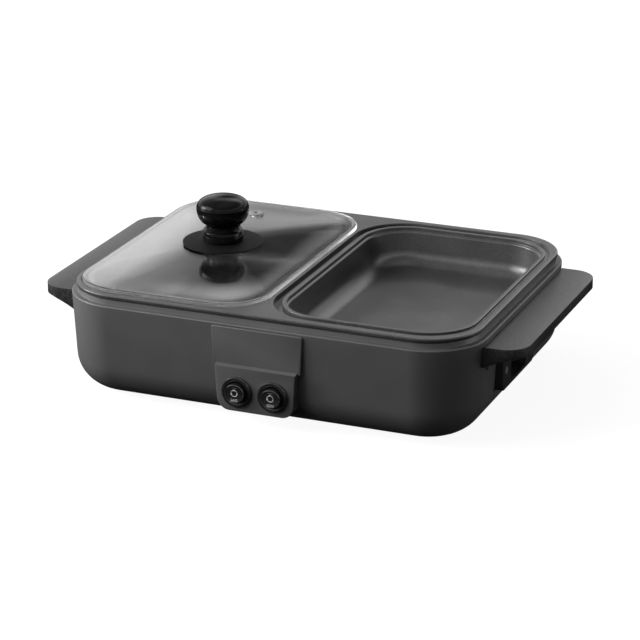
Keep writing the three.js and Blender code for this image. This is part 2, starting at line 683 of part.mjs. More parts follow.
// Control panel, hollow behind, cut to seat on the housing wall
function makeControlPanel() {
  const plateFront = housingHalfY + panelProud;
  const blockFront = housingHalfY + panelBlockProud;
  const plate = panelOutline(panelTopHalf, panelStepHalf, panelStepHeight - panelChamfer, panelTopHeight,
    panelEdge);
  const lowHalf = panelBlockHalf - panelBlockInset;
  const block = panelOutline(panelBlockHalf, lowHalf, panelBottomHeight, panelStepHeight, panelBottomRound);
  let body = frontPlate(plate, plateFront, panelBack, panelEdge / 2);
  body = body.add(frontPlate(block, blockFront, panelBack, panelEdge));

  // Sloping top of the block
  const slope = new THREE.Shape();
  slope.moveTo(-blockFront - cutOverrun, panelStepHeight - panelChamfer);
  slope.lineTo(-blockFront, panelStepHeight - panelChamfer);
  slope.lineTo(-plateFront, panelStepHeight);
  slope.lineTo(-plateFront, panelStepHeight + cutOverrun);
  slope.lineTo(-blockFront - cutOverrun, panelStepHeight + cutOverrun);
  slope.closePath();
  const wedge = new THREE.ExtrudeGeometry(slope, { depth: boxSize, bevelEnabled: false });
  wedge.rotateX(Math.PI / 2);
  wedge.rotateZ(Math.PI / 2);
  wedge.translate(-boxSize / 2, 0, 0);
  body = body.subtract(solid(wedge));

  // Hollow behind the block's front wall
  const hollow = panelOutline(panelBlockHalf - panelWall, lowHalf - panelWall,
    panelBottomHeight + panelWall, panelStepHeight - panelChamfer - panelWall,
    panelBottomRound - panelWall);
  body = body.subtract(frontPlate(hollow, blockFront - panelWall, panelBack));
  for (const x of switchPlaces) {
    const hole = alongFront(rod(barrelRadius + seatGap, housingHalfY - panelBack, bezelFace + cutOverrun,
      0, 0, bezelSides));
    body = body.subtract(hole.translate([x, 0, switchHeight]));
  }
  return body.subtract(housingSeat);
}

// Switch body: bezel, barrel with the rocker's well and trunnion holes, and three blades
function makeSwitchBody(x) {
  const front = bezelFace;
  const flange = front - bezelThick;
  let body = alongFront(turned([
    [0, flange - barrelDepth], [barrelRadius, flange - barrelDepth], [barrelRadius, flange + seatGap],
    [bezelRadius, flange + seatGap], [bezelRadius, front - bezelRound],
    [bezelRadius - bezelRound, front], [0, front],
  ], 0, 0, bezelSides));
  const well = rod(rockerWell, front - rockerWellDepth, front + cutOverrun, 0, 0, bezelSides);
  body = body.subtract(alongFront(well));
  const trunnionHole = alongX(rod(trunnionRadius + seatGap, -rockerHalfWidth - trunnionReach - seatGap,
    rockerHalfWidth + trunnionReach + seatGap));
  body = body.subtract(trunnionHole.translate([0, pivotDepth - front, 0]));
  for (const place of [-1, 0, 1]) {
    const z = place * bladePitch;
    const back = flange - barrelDepth;
    body = body.add(box(-bladeWidth / 2, bladeWidth / 2, -back - bladeThick, bladeLength - back,
      z - bladeThick / 2, z + bladeThick / 2));
  }
  return body.translate([x, 0, switchHeight]);
}

// Rocker with a shallow hollow across its face and a trunnion on each side
function makeRocker(x) {
  const shape = new THREE.Shape();
  shape.absellipse(0, 0, rockerHalfWidth, rockerHalfTall, 0, Math.PI * 2);
  const depth = rockerProud + rockerInner;
  const geometry = new THREE.ExtrudeGeometry(shape, {
    depth: depth - bezelRound * 2, curveSegments: rockerSteps, bevelEnabled: true,
    bevelThickness: bezelRound, bevelSize: bezelRound, bevelOffset: -bezelRound, bevelSegments: 1,
  });
  geometry.rotateX(Math.PI / 2);
  geometry.translate(0, rockerInner - bezelFace - bezelRound, 0);
  let body = solid(geometry);
  const trunnionEnd = rockerHalfWidth + trunnionReach;
  const trunnion = alongX(rod(trunnionRadius, -trunnionEnd, trunnionEnd, 0, 0, trunnionSides));
  body = body.add(trunnion.translate([0, pivotDepth - bezelFace, 0]));
  return body.translate([x, 0, switchHeight]);
}

// Handle shelf: a side profile run along Y, cut to its plan outline and to the housing wall
function makeHandle(side) {
  const top = handleTopHeight;
  const root = housingHalfX - housingCorner / 2;
  const thin = top - handleEdgeThick;
  const profile = new THREE.Shape();
  profile.moveTo(root, top);
  profile.lineTo(root, top - handleRootThick);
  profile.lineTo(housingHalfX, top - handleRootThick);
  profile.quadraticCurveTo(housingHalfX + handleRootReach / 2, thin, housingHalfX + handleRootReach * 2, thin);
  profile.lineTo(handleReach - handleEdgeRound, thin);
  profile.lineTo(handleReach, thin + handleEdgeRound);
  profile.lineTo(handleReach, top - handleEdgeRound);
  profile.quadraticCurveTo(handleReach, top, handleReach - handleEdgeRound, top);
  profile.closePath();
  const run = new THREE.ExtrudeGeometry(profile, {
    depth: boxSize, curveSegments: handleSteps, bevelEnabled: false,
  });
  run.rotateX(Math.PI / 2);
  run.translate(0, boxSize / 2, 0);

  // The plan outline narrows a little at the top and bottom, which rounds its end edges.
  const plan = (inset, z) => level(handleReach - inset, handleHalfDepth - inset, handleCorner - inset, z);
  const outline = stack([
    plan(handleEdgeRound / 2, top - handleRootThick), plan(0, top - handleRootThick + handleEdgeRound),
    plan(0, top - handleEdgeRound), plan(handleEdgeRound, top),
  ]);
  let body = solid(run).intersect(outline);
  body = body.subtract(housingSeat);
  for (const y of [-handleScrewY, handleScrewY]) {
    const bore = alongX(rod(handleScrewRadius + seatGap, root, housingHalfX + handleScrewGrip + seatGap));
    body = body.subtract(bore.translate([0, y, handleScrewHeight]));
  }
  return side > 0 ? body : body.mirror([1, 0, 0]);
}

// Handle screw, driven from inside the housing
function makeHandleScrew(side, y) {
  const lean = wallDraft * (ledgeHeight - handleScrewHeight) / (ledgeHeight - footHeight);
  const seat = housingHalfX - housingWall - lean - seatGap;
  const body = alongX(screwUp(handleScrewRadius, screwHeadRadius, screwHeadTall, seat,
    housingWall + handleScrewGrip, 0, 0)).translate([0, y, handleScrewHeight]);
  return side > 0 ? body : body.mirror([1, 0, 0]);
}

// Double pan: flange, locating rib, two wells, lid seat, lip, channel and bosses
function makePan() {
  const flange = stack([
    level(flangeHalfX - flangeRound, flangeHalfY - flangeRound, flangeCorner - flangeRound, flangeBottom),
    level(flangeHalfX, flangeHalfY, flangeCorner, flangeBottom + flangeRound),
    level(flangeHalfX, flangeHalfY, flangeCorner, rimHeight - flangeRound),
    level(flangeHalfX - flangeRound, flangeHalfY - flangeRound, flangeCorner - flangeRound, rimHeight),
  ]);
  const locator = slab(locatorHalfX, locatorHalfY, locatorCorner, flangeBottom - locatorDepth,
    flangeBottom + flangeRound);
  const pot = {
    halfX: potHalfLength, halfY: potHalfDepth, corner: potCorner, x: potCentreX,
    top: seatHeight, floor: potFloorHeight, draft: potDraft, fillet: potFillet,
  };
  const stepTop = rimHeight - grillStepDepth;
  const grill = {
    halfX: grillHalfLength - grillStepWidth, halfY: grillHalfDepth - grillStepWidth,
    corner: grillCorner - grillStepWidth, x: grillCentreX, top: stepTop - grillStepWidth,
    floor: grillFloorHeight, draft: grillDraft, fillet: grillFillet,
  };
  let body = flange.add(locator)
    .add(stack(bowlLevels({ ...pot, grow: panWall })))
    .add(stack(bowlLevels({ ...grill, grow: panWall })));

  // Hot pot well, open at the lid seat
  const potMouth = level(potHalfLength, potHalfDepth, potCorner, rimHeight + cutOverrun, potCentreX);
  body = body.subtract(stack([...bowlLevels(pot), potMouth]));
  const seatHalfX = lidHalfLength + seatGap * 2;
  const seatHalfY = lidHalfDepth + seatGap * 2;
  body = body.subtract(slab(seatHalfX, seatHalfY, lidCorner + seatGap * 2, seatHeight,
    rimHeight + cutOverrun, potCentreX));

  // Grill well: drafted wall, rounded step and the upright part under the lip
  const lip = (inset, z) => level(grillHalfLength - inset, grillHalfDepth - inset, grillCorner - inset, z,
    grillCentreX);
  body = body.subtract(stack([
    ...bowlLevels(grill),
    lip(grillStepWidth / 2, stepTop - grillStepFall), lip(0, stepTop),
    lip(0, rimHeight - lipRadius), lip(-lipRadius, rimHeight), lip(-lipRadius, rimHeight + cutOverrun),
  ]));

  // Channel round the lip, sloping down towards the divider
  const channelHalfX = grillHalfLength + lipWidth + (channelLeft + channelRight) / 2;
  const channelX = grillCentreX + (channelRight - channelLeft) / 2;
  const channelHalfY = grillHalfDepth + lipWidth + channelFront;
  const channelCorner = grillCorner + lipWidth + channelRight;
  const slopeAngle = Math.atan2(channelFall, channelHalfX * 2);
  const trench = slab(channelHalfX, channelHalfY, channelCorner, 0, channelDepth + channelFall + cutOverrun,
    channelX);
  const island = slab(grillHalfLength + lipWidth, grillHalfDepth + lipWidth, grillCorner + lipWidth,
    -cutOverrun, channelDepth + channelFall + cutOverrun * 2, grillCentreX);
  const channel = trench.subtract(island)
    .translate([-channelX - channelHalfX, 0, 0])
    .rotate([0, -THREE.MathUtils.radToDeg(slopeAngle), 0])
    .translate([channelX + channelHalfX, 0, rimHeight - channelDepth]);
  body = body.subtract(channel);

  // Bosses for the tie bolts and the heater clamps
  for (const [x, y] of tiePlaces) {
    body = body.add(rod(tieBossRadius, tieBossBottom, flangeBottom, x, y));
    body = body.subtract(rod(tieRadius + seatGap, tieBossBottom - cutOverrun,
      tieBossBottom + tieGrip + seatGap, x, y));
  }
  for (const { x, underside } of [potZone, grillZone]) {
    for (const side of [-1, 1]) {
      const bossX = x + side * clampBossX;
      const bossLow = clampTop(underside) + seatGap;
      body = body.add(rod(clampBossRadius, bossLow, underside + panWall / 2, bossX, 0));
      body = body.subtract(rod(baseScrewRadius + seatGap, bossLow - cutOverrun,
        bossLow + clampScrewGrip + seatGap, bossX, 0));
    }
  }
  return body;
}

// The two heating zones under the wells
const zoneFor = (x, underside, halfLength, halfDepth) => ({
  x,
  underside,
  legs: halfLength - legInset,
  front: heaterFrontInset - halfDepth,
  bend: halfDepth - heaterBackInset - halfLength + legInset,
});
const potZone = zoneFor(potCentreX, potUnderside, potHalfLength, potHalfDepth);
const grillZone = zoneFor(grillCentreX, grillUnderside, grillHalfLength, grillHalfDepth);
const tubeHeight = (underside) => underside - seatGap - tubeRadius;
const clampTop = (underside) => tubeHeight(underside) - tubeRadius - seatGap;

// A U-shaped run in plan: up one leg, round the bend and back down the other leg
class LoopPath extends THREE.Curve {
  constructor(x, z, spacing, front, bend) {
    super();
    Object.assign(this, { x, z, spacing, front, bend });
  }

  getPoint(t, target = new THREE.Vector3()) {
    const leg = this.bend - this.front;
    const arc = Math.PI * this.spacing;
    const along = t * (leg * 2 + arc);
    if (along < leg) return target.set(this.x - this.spacing, this.front + along, this.z);
    if (along > leg + arc) {
      return target.set(this.x + this.spacing, this.front + leg * 2 + arc - along, this.z);
    }
    const angle = Math.PI - (along - leg) / this.spacing;
    return target.set(this.x + this.spacing * Math.cos(angle),
      this.bend + this.spacing * Math.sin(angle), this.z);
  }
}

// A round section run along a path
function tube(path, radius, sides, steps) {
  const section = new THREE.Shape();
  for (let side = 0; side < sides; side++) {
    const angle = side / sides * Math.PI * 2;
    const point = [radius * Math.cos(angle), radius * Math.sin(angle)];
    if (side === 0) section.moveTo(...point);
    else section.lineTo(...point);
  }
  section.closePath();
  return solid(new THREE.ExtrudeGeometry(section, { steps, extrudePath: path, bevelEnabled: false }));
}

// Tubular heater with a terminal pin on each leg
function makeHeater({ x, underside, legs, front, bend }) {
  const z = tubeHeight(underside);
  let body = tube(new LoopPath(x, z, legs, front, bend), tubeRadius, tubeSides, tubeSteps);
  for (const side of [-1, 1]) {
    const pin = alongFront(rod(terminalRadius, -front - terminalRadius, terminalLength - front, 0, 0,
      tubeSides));
    body = body.add(pin.translate([x + side * legs, 0, z]));
  }
  return body;
}

// Clamp plate across both legs, with a tongue that presses the thermostat against the pan
function makeClamp({ x, underside, legs }) {
  const top = clampTop(underside);
  const low = top - clampThickness;
  const reach = legs + clampOverhang;
  let body = box(x - reach, x + reach, -clampHalfDepth, clampHalfDepth, low, top);
  body = body.add(slab(tongueHalfWidth, tongueReach / 2, clampOverhang, low, top, x, -tongueReach / 2,
    flangeSteps));
  for (const side of [-1, 1]) {
    body = body.subtract(rod(baseScrewRadius + seatGap, low - cutOverrun, top + cutOverrun,
      x + side * clampBossX, 0));
  }
  return body;
}

const makeClampScrew = ({ x, underside }, side) => screwUp(
  baseScrewRadius, baseScrewHead, baseScrewHeadTall,
  clampTop(underside) - clampThickness - seatGap, clampThickness + seatGap + clampScrewGrip,
  x + side * clampBossX, 0);

// Snap-disc thermostat: a stepped can with two blades
function makeThermostat({ x, underside }) {
  const high = underside - seatGap;
  const low = clampTop(underside) + seatGap;
  const shoulder = (high + low) / 2;
  let body = turned([
    [0, low], [thermostatRadius - clampThickness, low], [thermostatRadius - clampThickness, shoulder],
    [thermostatRadius, shoulder], [thermostatRadius, high], [0, high],
  ], x, thermostatY);
  for (const side of [-1, 1]) {
    const near = x + side * (thermostatRadius - clampThickness * 2);
    const far = x + side * (thermostatRadius + bladeLength);
    body = body.add(box(Math.min(near, far), Math.max(near, far), thermostatY - bladeWidth / 2,
      thermostatY + bladeWidth / 2, shoulder - bladeThick * 2, shoulder - bladeThick));
  }
  return body;
}

// Thermal fuse in its sleeve, lying on the heat shield
function makeFuse(side) {
  const z = shieldTop + seatGap + fuseRadius;
  const body = rod(fuseRadius, -fuseLength / 2, fuseLength / 2);
  const lead = rod(fuseLeadRadius, -fuseLength / 2 - fuseLeadLength, fuseLength / 2 + fuseLeadLength,
    0, 0, cornerSteps);
  return alongX(body.add(lead)).translate([side * fuseX, fuseY, z]);
}

// Heat shield tray
function makeHeatShield() {
  const outer = slab(shieldHalfLength, shieldHalfDepth, shieldCorner, shieldHeight,
    shieldTop + shieldRimTall, 0, 0, smallSteps);
  const inner = slab(shieldHalfLength - shieldThickness, shieldHalfDepth - shieldThickness,
    shieldCorner - shieldThickness, shieldTop, shieldTop + shieldRimTall + cutOverrun, 0, 0, smallSteps);
  let body = outer.subtract(inner);
  for (const [x, y] of shieldScrewPlaces) {
    body = body.subtract(rod(shieldScrewRadius + seatGap, shieldHeight - cutOverrun,
      shieldTop + cutOverrun, x, y));
  }
  for (const [x, y] of tiePlaces) {
    body = body.subtract(rod(tieShieldHole, shieldHeight - cutOverrun, shieldTop + cutOverrun, x, y));
  }
  return body;
}

const makeShieldScrew = (x, y) => turned([
  [0, shieldTop - shieldScrewGrip], [shieldScrewRadius, shieldTop - shieldScrewGrip],
  [shieldScrewRadius, shieldTop + seatGap], [baseScrewHead, shieldTop + seatGap],
  [baseScrewHead, shieldTop + seatGap + baseScrewHeadTall], [0, shieldTop + seatGap + baseScrewHeadTall],
], x, y);

// Inlet socket: flange on the wall, box behind it, and the recess that takes the plug
function makeInletSocket() {
  const halfY = (inletBack - inletFront) / 2;
  const halfZ = (inletTopHeight - inletBottomHeight) / 2;
  const middleZ = (inletTopHeight + inletBottomHeight) / 2;
  const root = housingHalfX - bottomFillet;
  const flange = stack([
    level(halfZ, halfY, inletRound, root),
    level(halfZ, halfY, inletRound, inletFace - panelEdge),
    level(halfZ - panelEdge, halfY - panelEdge, inletRound - panelEdge, inletFace),
  ], flangeSteps).rotate([0, 90, 0]).translate([0, inletMiddleY, middleZ]).subtract(housingSeat);
  const recessHalf = inletRecessLength / 2;
  const shell = box(inletBodyBack, inletFace - inletProud, inletMiddleY - recessHalf - inletWall,
    inletMiddleY + recessHalf + inletWall, inletRecessBottom - inletWall, inletRecessTop + inletWall);
  const recess = box(inletFace - inletRecessDepth, inletFace + cutOverrun, inletMiddleY - recessHalf,
    inletMiddleY + recessHalf, inletRecessBottom, inletRecessTop);
  let body = flange.add(shell).subtract(recess);
  for (const place of [-1, 0, 1]) {
    const hole = alongX(rod(pinRadius + seatGap, inletBodyBack - cutOverrun,
      inletFace - inletRecessDepth + cutOverrun));
    const y = inletMiddleY + place * pinPitch / 2;
    body = body.subtract(hole.translate([0, y, pinHeight(place)]));
  }
  for (const y of inletScrewPlaces) {
    const shank = alongX(rod(baseScrewRadius + seatGap, root, inletFace + cutOverrun));
    const head = alongX(rod(baseScrewHead + seatGap, inletFace - baseScrewHeadTall,
      inletFace + cutOverrun));
    body = body.subtract(shank.add(head).translate([0, y, inletPinHeight]));
  }
  return body;
}

// The earth pin sits a little above the two supply pins.
const pinRise = pinPitch / 2;
const pinHeight = (place) => inletPinHeight + (place === 0 ? pinRise : -pinRise / 2);

const makePin = (place) => alongX(turned([
  [0, inletBodyBack - pinTail], [pinRadius, inletBodyBack - pinTail],
  [pinRadius, inletFace - pinTipSetback - pinRadius / 2], [pinRadius / 2, inletFace - pinTipSetback],
  [0, inletFace - pinTipSetback],
], 0, 0, pinSides)).translate([0, inletMiddleY + place * pinPitch / 2, pinHeight(place)]);

const makeInletScrew = (y) => alongX(turned([
  [0, inletFace - inletScrewGrip], [baseScrewRadius, inletFace - inletScrewGrip],
  [baseScrewRadius, inletFace - baseScrewHeadTall + seatGap],
  [baseScrewHead, inletFace - baseScrewHeadTall + seatGap], [baseScrewHead, inletFace - seatGap / 2],
  [0, inletFace - seatGap / 2],
])).translate([0, y, inletPinHeight]);

// Ceramic terminal block with notches between its ways and a wire hole through each way
function makeTerminalBlock() {
  const low = shieldTop + seatGap;
  const high = low + blockTall;
  const way = blockLength / blockWays;
  let body = box(blockX - blockLength / 2, blockX + blockLength / 2, blockY - blockDepth / 2,
    blockY + blockDepth / 2, low, high);
  for (let gap = 1; gap < blockWays; gap++) {
    const x = blockX - blockLength / 2 + gap * way;
    body = body.subtract(box(x - blockNotchWidth / 2, x + blockNotchWidth / 2, blockY - blockDepth,
      blockY + blockDepth, high - blockNotchDepth, high + cutOverrun));
  }
  for (let k = 0; k < blockWays; k++) {
    const hole = alongFront(rod(wireHole, -blockY - blockDepth, blockDepth - blockY));
    const x = blockX - blockLength / 2 + k * way + way / 2;
    body = body.subtract(hole.translate([x, 0, low + blockTall / 2]));
  }
  return body;
}

// Insulated lead through a list of places
function makeLead(start, bends, end) {
  const from = new THREE.Vector3(...start);
  const to = new THREE.Vector3(...end);
  const middle = bends.map((bend, k) => new THREE.Vector3(...bend).add(k < bends.length / 2 ? from : to));
  const path = new THREE.CatmullRomCurve3([from, ...middle, to]);
  return tube(path, leadRadius, leadSides, leadSteps);
}

// Ends of the leads: behind a pin, beside a way of the block, behind a switch blade, at a heater pin
const pinEnd = (way) => [inletBodyBack - pinTail - seatGap, inletMiddleY + way * pinPitch / 2,
  pinHeight(way)];
const blockEnd = (way, side) => [blockX + way * blockLength / blockWays,
  blockY + side * (blockDepth / 2 + seatGap), shieldTop + seatGap + blockTall / 2];
const bladeEnd = (x, way) => [x, bezelThick + barrelDepth + bladeLength + seatGap - bezelFace,
  switchHeight + way * bladePitch];
const heaterEnd = ({ x, underside, legs, front }, side) => [x + side * legs,
  front - terminalLength - seatGap, tubeHeight(underside)];
const earthEnd = [earthSpotX, earthSpotY, shieldTop + seatGap + leadRadius];

// Crown height of the glass at a share of the way out from the middle. The first ring is level,
// so that the knob's disc and washer lie flat on it.
function crownAt(share) {
  const ringPlace = Math.min(share / lidFlatShare, 1) * lidRings;
  return lidCrown * (1 - Math.max((ringPlace - 1) / (lidRings - 1), 0) ** 2);
}

// Glass lid: a crowned pane of even thickness with a knob hole and a vent hole
function makeLidGlass() {
  const ring = (share, z, inset = 0) => level(lidHalfLength * share - inset, lidHalfDepth * share - inset,
    lidCorner * share - inset, z, potCentreX);
  const under = [];
  const over = [];
  for (let step = 1; step <= lidRings; step++) {
    const share = step / lidRings * lidFlatShare;
    under.push(ring(share, lidBottom + crownAt(share)));
    over.unshift(ring(share, lidEdgeTop + crownAt(share)));
  }
  const edge = [
    ring(1, lidBottom, lidEdgeRound), ring(1, lidBottom + lidEdgeRound),
    ring(1, lidEdgeTop - lidEdgeRound), ring(1, lidEdgeTop, lidEdgeRound),
  ];
  let body = stack([...under, ...edge, ...over]);
  body = body.subtract(rod(knobHole, lidBottom - cutOverrun, lidTop + cutOverrun, potCentreX, 0));
  return body.subtract(rod(ventHole, lidBottom - cutOverrun, lidTop + cutOverrun, ventX, ventY));
}

// Height of the glass at the vent, from the same crown
const ventShare = Math.max(Math.abs(ventX - potCentreX) / lidHalfLength, Math.abs(ventY) / lidHalfDepth);
const ventTop = lidEdgeTop + crownAt(ventShare);

const ventStemLow = ventTop - glassThickness - ventStemReach;
const makeVentGrommet = () => turned([
  [ventBore, ventStemLow], [ventHole - seatGap, ventStemLow],
  [ventHole - seatGap, ventTop + seatGap * 2], [ventHeadRadius, ventTop + seatGap * 2],
  [ventHeadRadius - ventHeadHeight / 2, ventTop + seatGap * 2 + ventHeadHeight],
  [ventBore, ventTop + seatGap * 2 + ventHeadHeight], [ventBore, ventStemLow],
], ventX, ventY);

// Base disc under the knob, a shallow cone that rests on the top of the crown
const discLow = lidTop + seatGap;
const discTop = discLow + discThickness;
const makeKnobDisc = () => turned([
  [knobHole, discLow], [footRadius, discLow], [discRadius, discTop - discRise - discEdge],
  [discRadius, discTop - discRise], [footRadius, discTop], [knobHole, discTop], [knobHole, discLow],
], potCentreX, 0, smoothSides);

// Glossy lid knob
const knobLow = discTop + seatGap;
function makeKnob() {
  const bore = [[0, knobBoreDepth], [knobBore, knobBoreDepth], [knobBore, 0]];
  const profile = [...bore, ...knobOutline].map(([radius, rise]) => [radius, knobLow + rise]);
  return turned(profile, potCentreX, 0, smoothSides);
}

// Washer and screw under the glass
const glassUnder = lidBottom + lidCrown;
const washerLow = glassUnder - seatGap - washerThickness;
const makeKnobWasher = () => turned([
  [knobScrewRadius + seatGap, washerLow], [washerRadius, washerLow], [washerRadius, glassUnder - seatGap],
  [knobScrewRadius + seatGap, glassUnder - seatGap], [knobScrewRadius + seatGap, washerLow],
], potCentreX, 0);
const makeKnobScrew = () => screwUp(knobScrewRadius, knobScrewHead, knobScrewHeadTall, washerLow - seatGap,
  knobLow + knobScrewGrip - washerLow + seatGap, potCentreX, 0);

// Puts the pieces together. The shift brings the middle of the overall depth to the origin.
const group = new THREE.Group();
const cooker = new THREE.Group();
cooker.position.y = frontBackShift;
group.add(cooker);

function place(name, body, material) {
  const mesh = new THREE.Mesh(surface(body), material);
  mesh.name = name;
  cooker.add(mesh);
}

place('housing', makeHousing(), housingPlastic);
place('base_cover', makeBaseCover(), blackPlastic);
const cornerNames = ['front_left', 'front_right', 'back_left', 'back_right'];
cornerNames.forEach((corner, k) => {
  place(`foot_${corner}`, makeFoot(...footPlaces[k]), rubber);
  place(`base_screw_${corner}`, makeBaseScrew(...baseScrewPlaces[k]), steel);
  place(`shield_screw_${corner}`, makeShieldScrew(...shieldScrewPlaces[k]), steel);
});
place('control_panel', makeControlPanel(), housingPlastic);
['left', 'right'].forEach((side, k) => {
  const sign = k === 0 ? -1 : 1;
  place(`${side}_switch_body`, makeSwitchBody(switchPlaces[k]), switchPlastic);
  place(`${side}_rocker`, makeRocker(switchPlaces[k]), switchPlastic);
  place(`${side}_handle`, makeHandle(sign), handlePlastic);
  place(`${side}_handle_screw_front`, makeHandleScrew(sign, -handleScrewY), steel);
  place(`${side}_handle_screw_back`, makeHandleScrew(sign, handleScrewY), steel);
});
place('double_pan', makePan(), panCoating);
place('tie_bolt_front', makeTieBolt(...tiePlaces[0]), steel);
place('tie_bolt_back', makeTieBolt(...tiePlaces[1]), steel);
for (const [name, zone, side] of [['hotpot', potZone, -1], ['grill', grillZone, 1]]) {
  place(`${name}_heater`, makeHeater(zone), heaterSteel);
  place(`${name}_heater_clamp`, makeClamp(zone), steel);
  place(`${name}_clamp_screw_left`, makeClampScrew(zone, -1), steel);
  place(`${name}_clamp_screw_right`, makeClampScrew(zone, 1), steel);
  place(`${name}_thermostat`, makeThermostat(zone), steel);
  place(`${name}_thermal_fuse`, makeFuse(side), ceramic);
}
place('heat_shield', makeHeatShield(), steel);
place('inlet_socket', makeInletSocket(), blackPlastic);
place('inlet_line_pin', makePin(-1), brass);
place('inlet_neutral_pin', makePin(1), brass);
place('inlet_earth_pin', makePin(0), brass);
place('inlet_screw_front', makeInletScrew(inletScrewPlaces[0]), steel);
place('inlet_screw_back', makeInletScrew(inletScrewPlaces[1]), steel);
place('terminal_block', makeTerminalBlock(), ceramic);
place('line_lead', makeLead(pinEnd(-1), lineLeadBends, blockEnd(1, 1)), wireRed);
place('neutral_lead', makeLead(pinEnd(1), neutralLeadBends, blockEnd(0, 1)), wireBlue);
place('earth_lead', makeLead(pinEnd(0), earthLeadBends, earthEnd), wireGreen);
const [potSwitch, grillSwitch] = switchPlaces;
place('switch_supply_lead',
  makeLead(blockEnd(1, -1), supplyLeadBends, bladeEnd(grillSwitch, -1)), wireRed);
place('grill_heater_lead',
  makeLead(bladeEnd(grillSwitch, 0), grillLeadBends, heaterEnd(grillZone, -1)), silicone);
place('hotpot_heater_lead',
  makeLead(bladeEnd(potSwitch, 0), potLeadBends, heaterEnd(potZone, 1)), silicone);
place('lid_glass', makeLidGlass(), glass);
place('vent_grommet', makeVentGrommet(), silicone);
place('knob_base_disc', makeKnobDisc(), knobPlastic);
place('lid_knob', makeKnob(), knobPlastic);
place('knob_washer', makeKnobWasher(), silicone);
place('knob_screw', makeKnobScrew(), steel);

export default group;
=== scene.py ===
"""Looks of the hot pot and grill combo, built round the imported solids."""
import math

import bmesh
import bpy
from bpy.props import FloatProperty, FloatVectorProperty, IntProperty, PointerProperty
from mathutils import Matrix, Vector


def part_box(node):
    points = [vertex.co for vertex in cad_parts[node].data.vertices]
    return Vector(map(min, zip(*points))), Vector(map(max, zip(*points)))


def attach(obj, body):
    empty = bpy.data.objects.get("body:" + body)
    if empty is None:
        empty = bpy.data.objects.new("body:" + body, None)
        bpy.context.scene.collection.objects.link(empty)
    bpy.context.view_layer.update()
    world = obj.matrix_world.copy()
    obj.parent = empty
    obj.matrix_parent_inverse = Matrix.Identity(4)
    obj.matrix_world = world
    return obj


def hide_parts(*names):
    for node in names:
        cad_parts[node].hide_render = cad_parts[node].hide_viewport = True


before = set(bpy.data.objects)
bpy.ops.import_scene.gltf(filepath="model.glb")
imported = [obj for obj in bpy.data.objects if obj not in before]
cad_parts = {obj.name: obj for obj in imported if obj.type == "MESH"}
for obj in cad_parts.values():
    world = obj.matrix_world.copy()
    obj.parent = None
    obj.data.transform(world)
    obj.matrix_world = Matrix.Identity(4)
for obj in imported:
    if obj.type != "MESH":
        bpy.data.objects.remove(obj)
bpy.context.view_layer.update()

bl_info = {
    "name": "Hot Pot and Grill Combo",
    "version": (1, 0, 0),
    "blender": (4, 5, 0),
    "location": "3D View > Sidebar > Cooker",
    "description": "Models the housing, double pan, lid, handles, switches and studio of a table cooker",
    "category": "Object",
}

MM = 0.001
TINY = 0.000002                   # lengths below 0.002 mm count as nothing
WELD = 0.000004                   # corners closer than 0.004 mm become one
CORNER_FACETS = 20                # facets in a quarter turn of a plan corner
FILLET_FACETS = 12                # facets in a quarter turn of a wall's fillet
EDGE_FACETS = 4                   # facets in a quarter turn of a broken edge
ROUND_SIDES = 96                  # sides of the knob, its disc and the switches
SMALL_SIDES = 40                  # sides of the screw holes, pins, posts and feet
MIDWAY = 0.3                      # share of a small rounding at which its middle point lies
ALONG = 0.9                       # an edge lies along an axis if its direction is this far along it
LEVEL = 0.99                      # a face lies level if its normal is this far upright
MIDDLE_Y = (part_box("housing")[0].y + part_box("housing")[1].y) / 2
TO_RIGHT = (0, math.pi / 2, 0)    # turn that lays a round piece's top towards +X
TO_FRONT = (math.pi / 2, 0, 0)    # turn that lays a round piece's top towards -Y

# Sizes that several pieces share; a plan is half the length, half the depth and the corner radius
CLEARANCE = 0.3 * MM              # gap between the housing and what lies in it or on it
LEDGE_EDGE = 0.9 * MM             # rounding of the housing's ledge
PAST_LEDGE = 1.4 * MM             # how far a cut along the wall goes on above the ledge's edge
COVER_PLAN = (110.75 * MM, 77.25 * MM, 22 * MM)
COVER_TOP = 4.4 * MM              # inner face of the base cover above the table
OPENING_PLAN = (100.75 * MM, 67.25 * MM, 12 * MM)
SWITCH_BORE = 10.1 * MM           # radius of a switch's hole in the panel
INLET_Y = -25 * MM                # middle of the inlet along the right wall
INLET_HALF = 19 * MM              # half the width of the inlet's shell
INLET_BACK = 147 * MM
INLET_LOW, INLET_HIGH = 28 * MM, 54 * MM              # underside and top of the inlet's shell


def linear(hex_colour):
    """Turns an sRGB hex colour into the linear colour that a shader takes."""
    parts = [int(hex_colour[k:k + 2], 16) / 255 for k in (1, 3, 5)]
    return tuple(p / 12.92 if p <= 0.04045 else ((p + 0.055) / 1.055) ** 2.4 for p in parts) + (1.0,)


def span(name, millimetres, description):
    """A length that a user may change, given in millimetres."""
    return FloatProperty(name=name, description=description, default=millimetres * MM, unit="LENGTH")


def tint(name, hex_colour, description):
    """A colour that a user may change."""
    return FloatVectorProperty(name=name, description=description, default=linear(hex_colour),
                               size=4, min=0, max=1, subtype="COLOR")


# Sizes and colours


class HousingSizes(bpy.types.PropertyGroup):
    half_length: span("Half length", 161.5, "Half the tray's length at the ledge")
    half_depth: span("Half depth", 128, "Half the tray's depth at the ledge")
    corner: span("Corner", 45, "Plan corner radius at the ledge")
    ledge: span("Ledge", 76.5, "Top of the ledge above the table")
    bottom: span("Bottom", 2, "Underside above the table")
    lean: span("Lean", 4, "How far the wall leans in down to the bottom")
    fillet: span("Fillet", 26, "Radius between wall and bottom")
    wall: span("Wall", 2.6, "Moulded wall thickness")
    collar_top: span("Collar", 80.4, "Top of the collar that carries the pan")
    collar_setback: span("Collar setback", 4.3, "From the ledge's edge in to the collar")


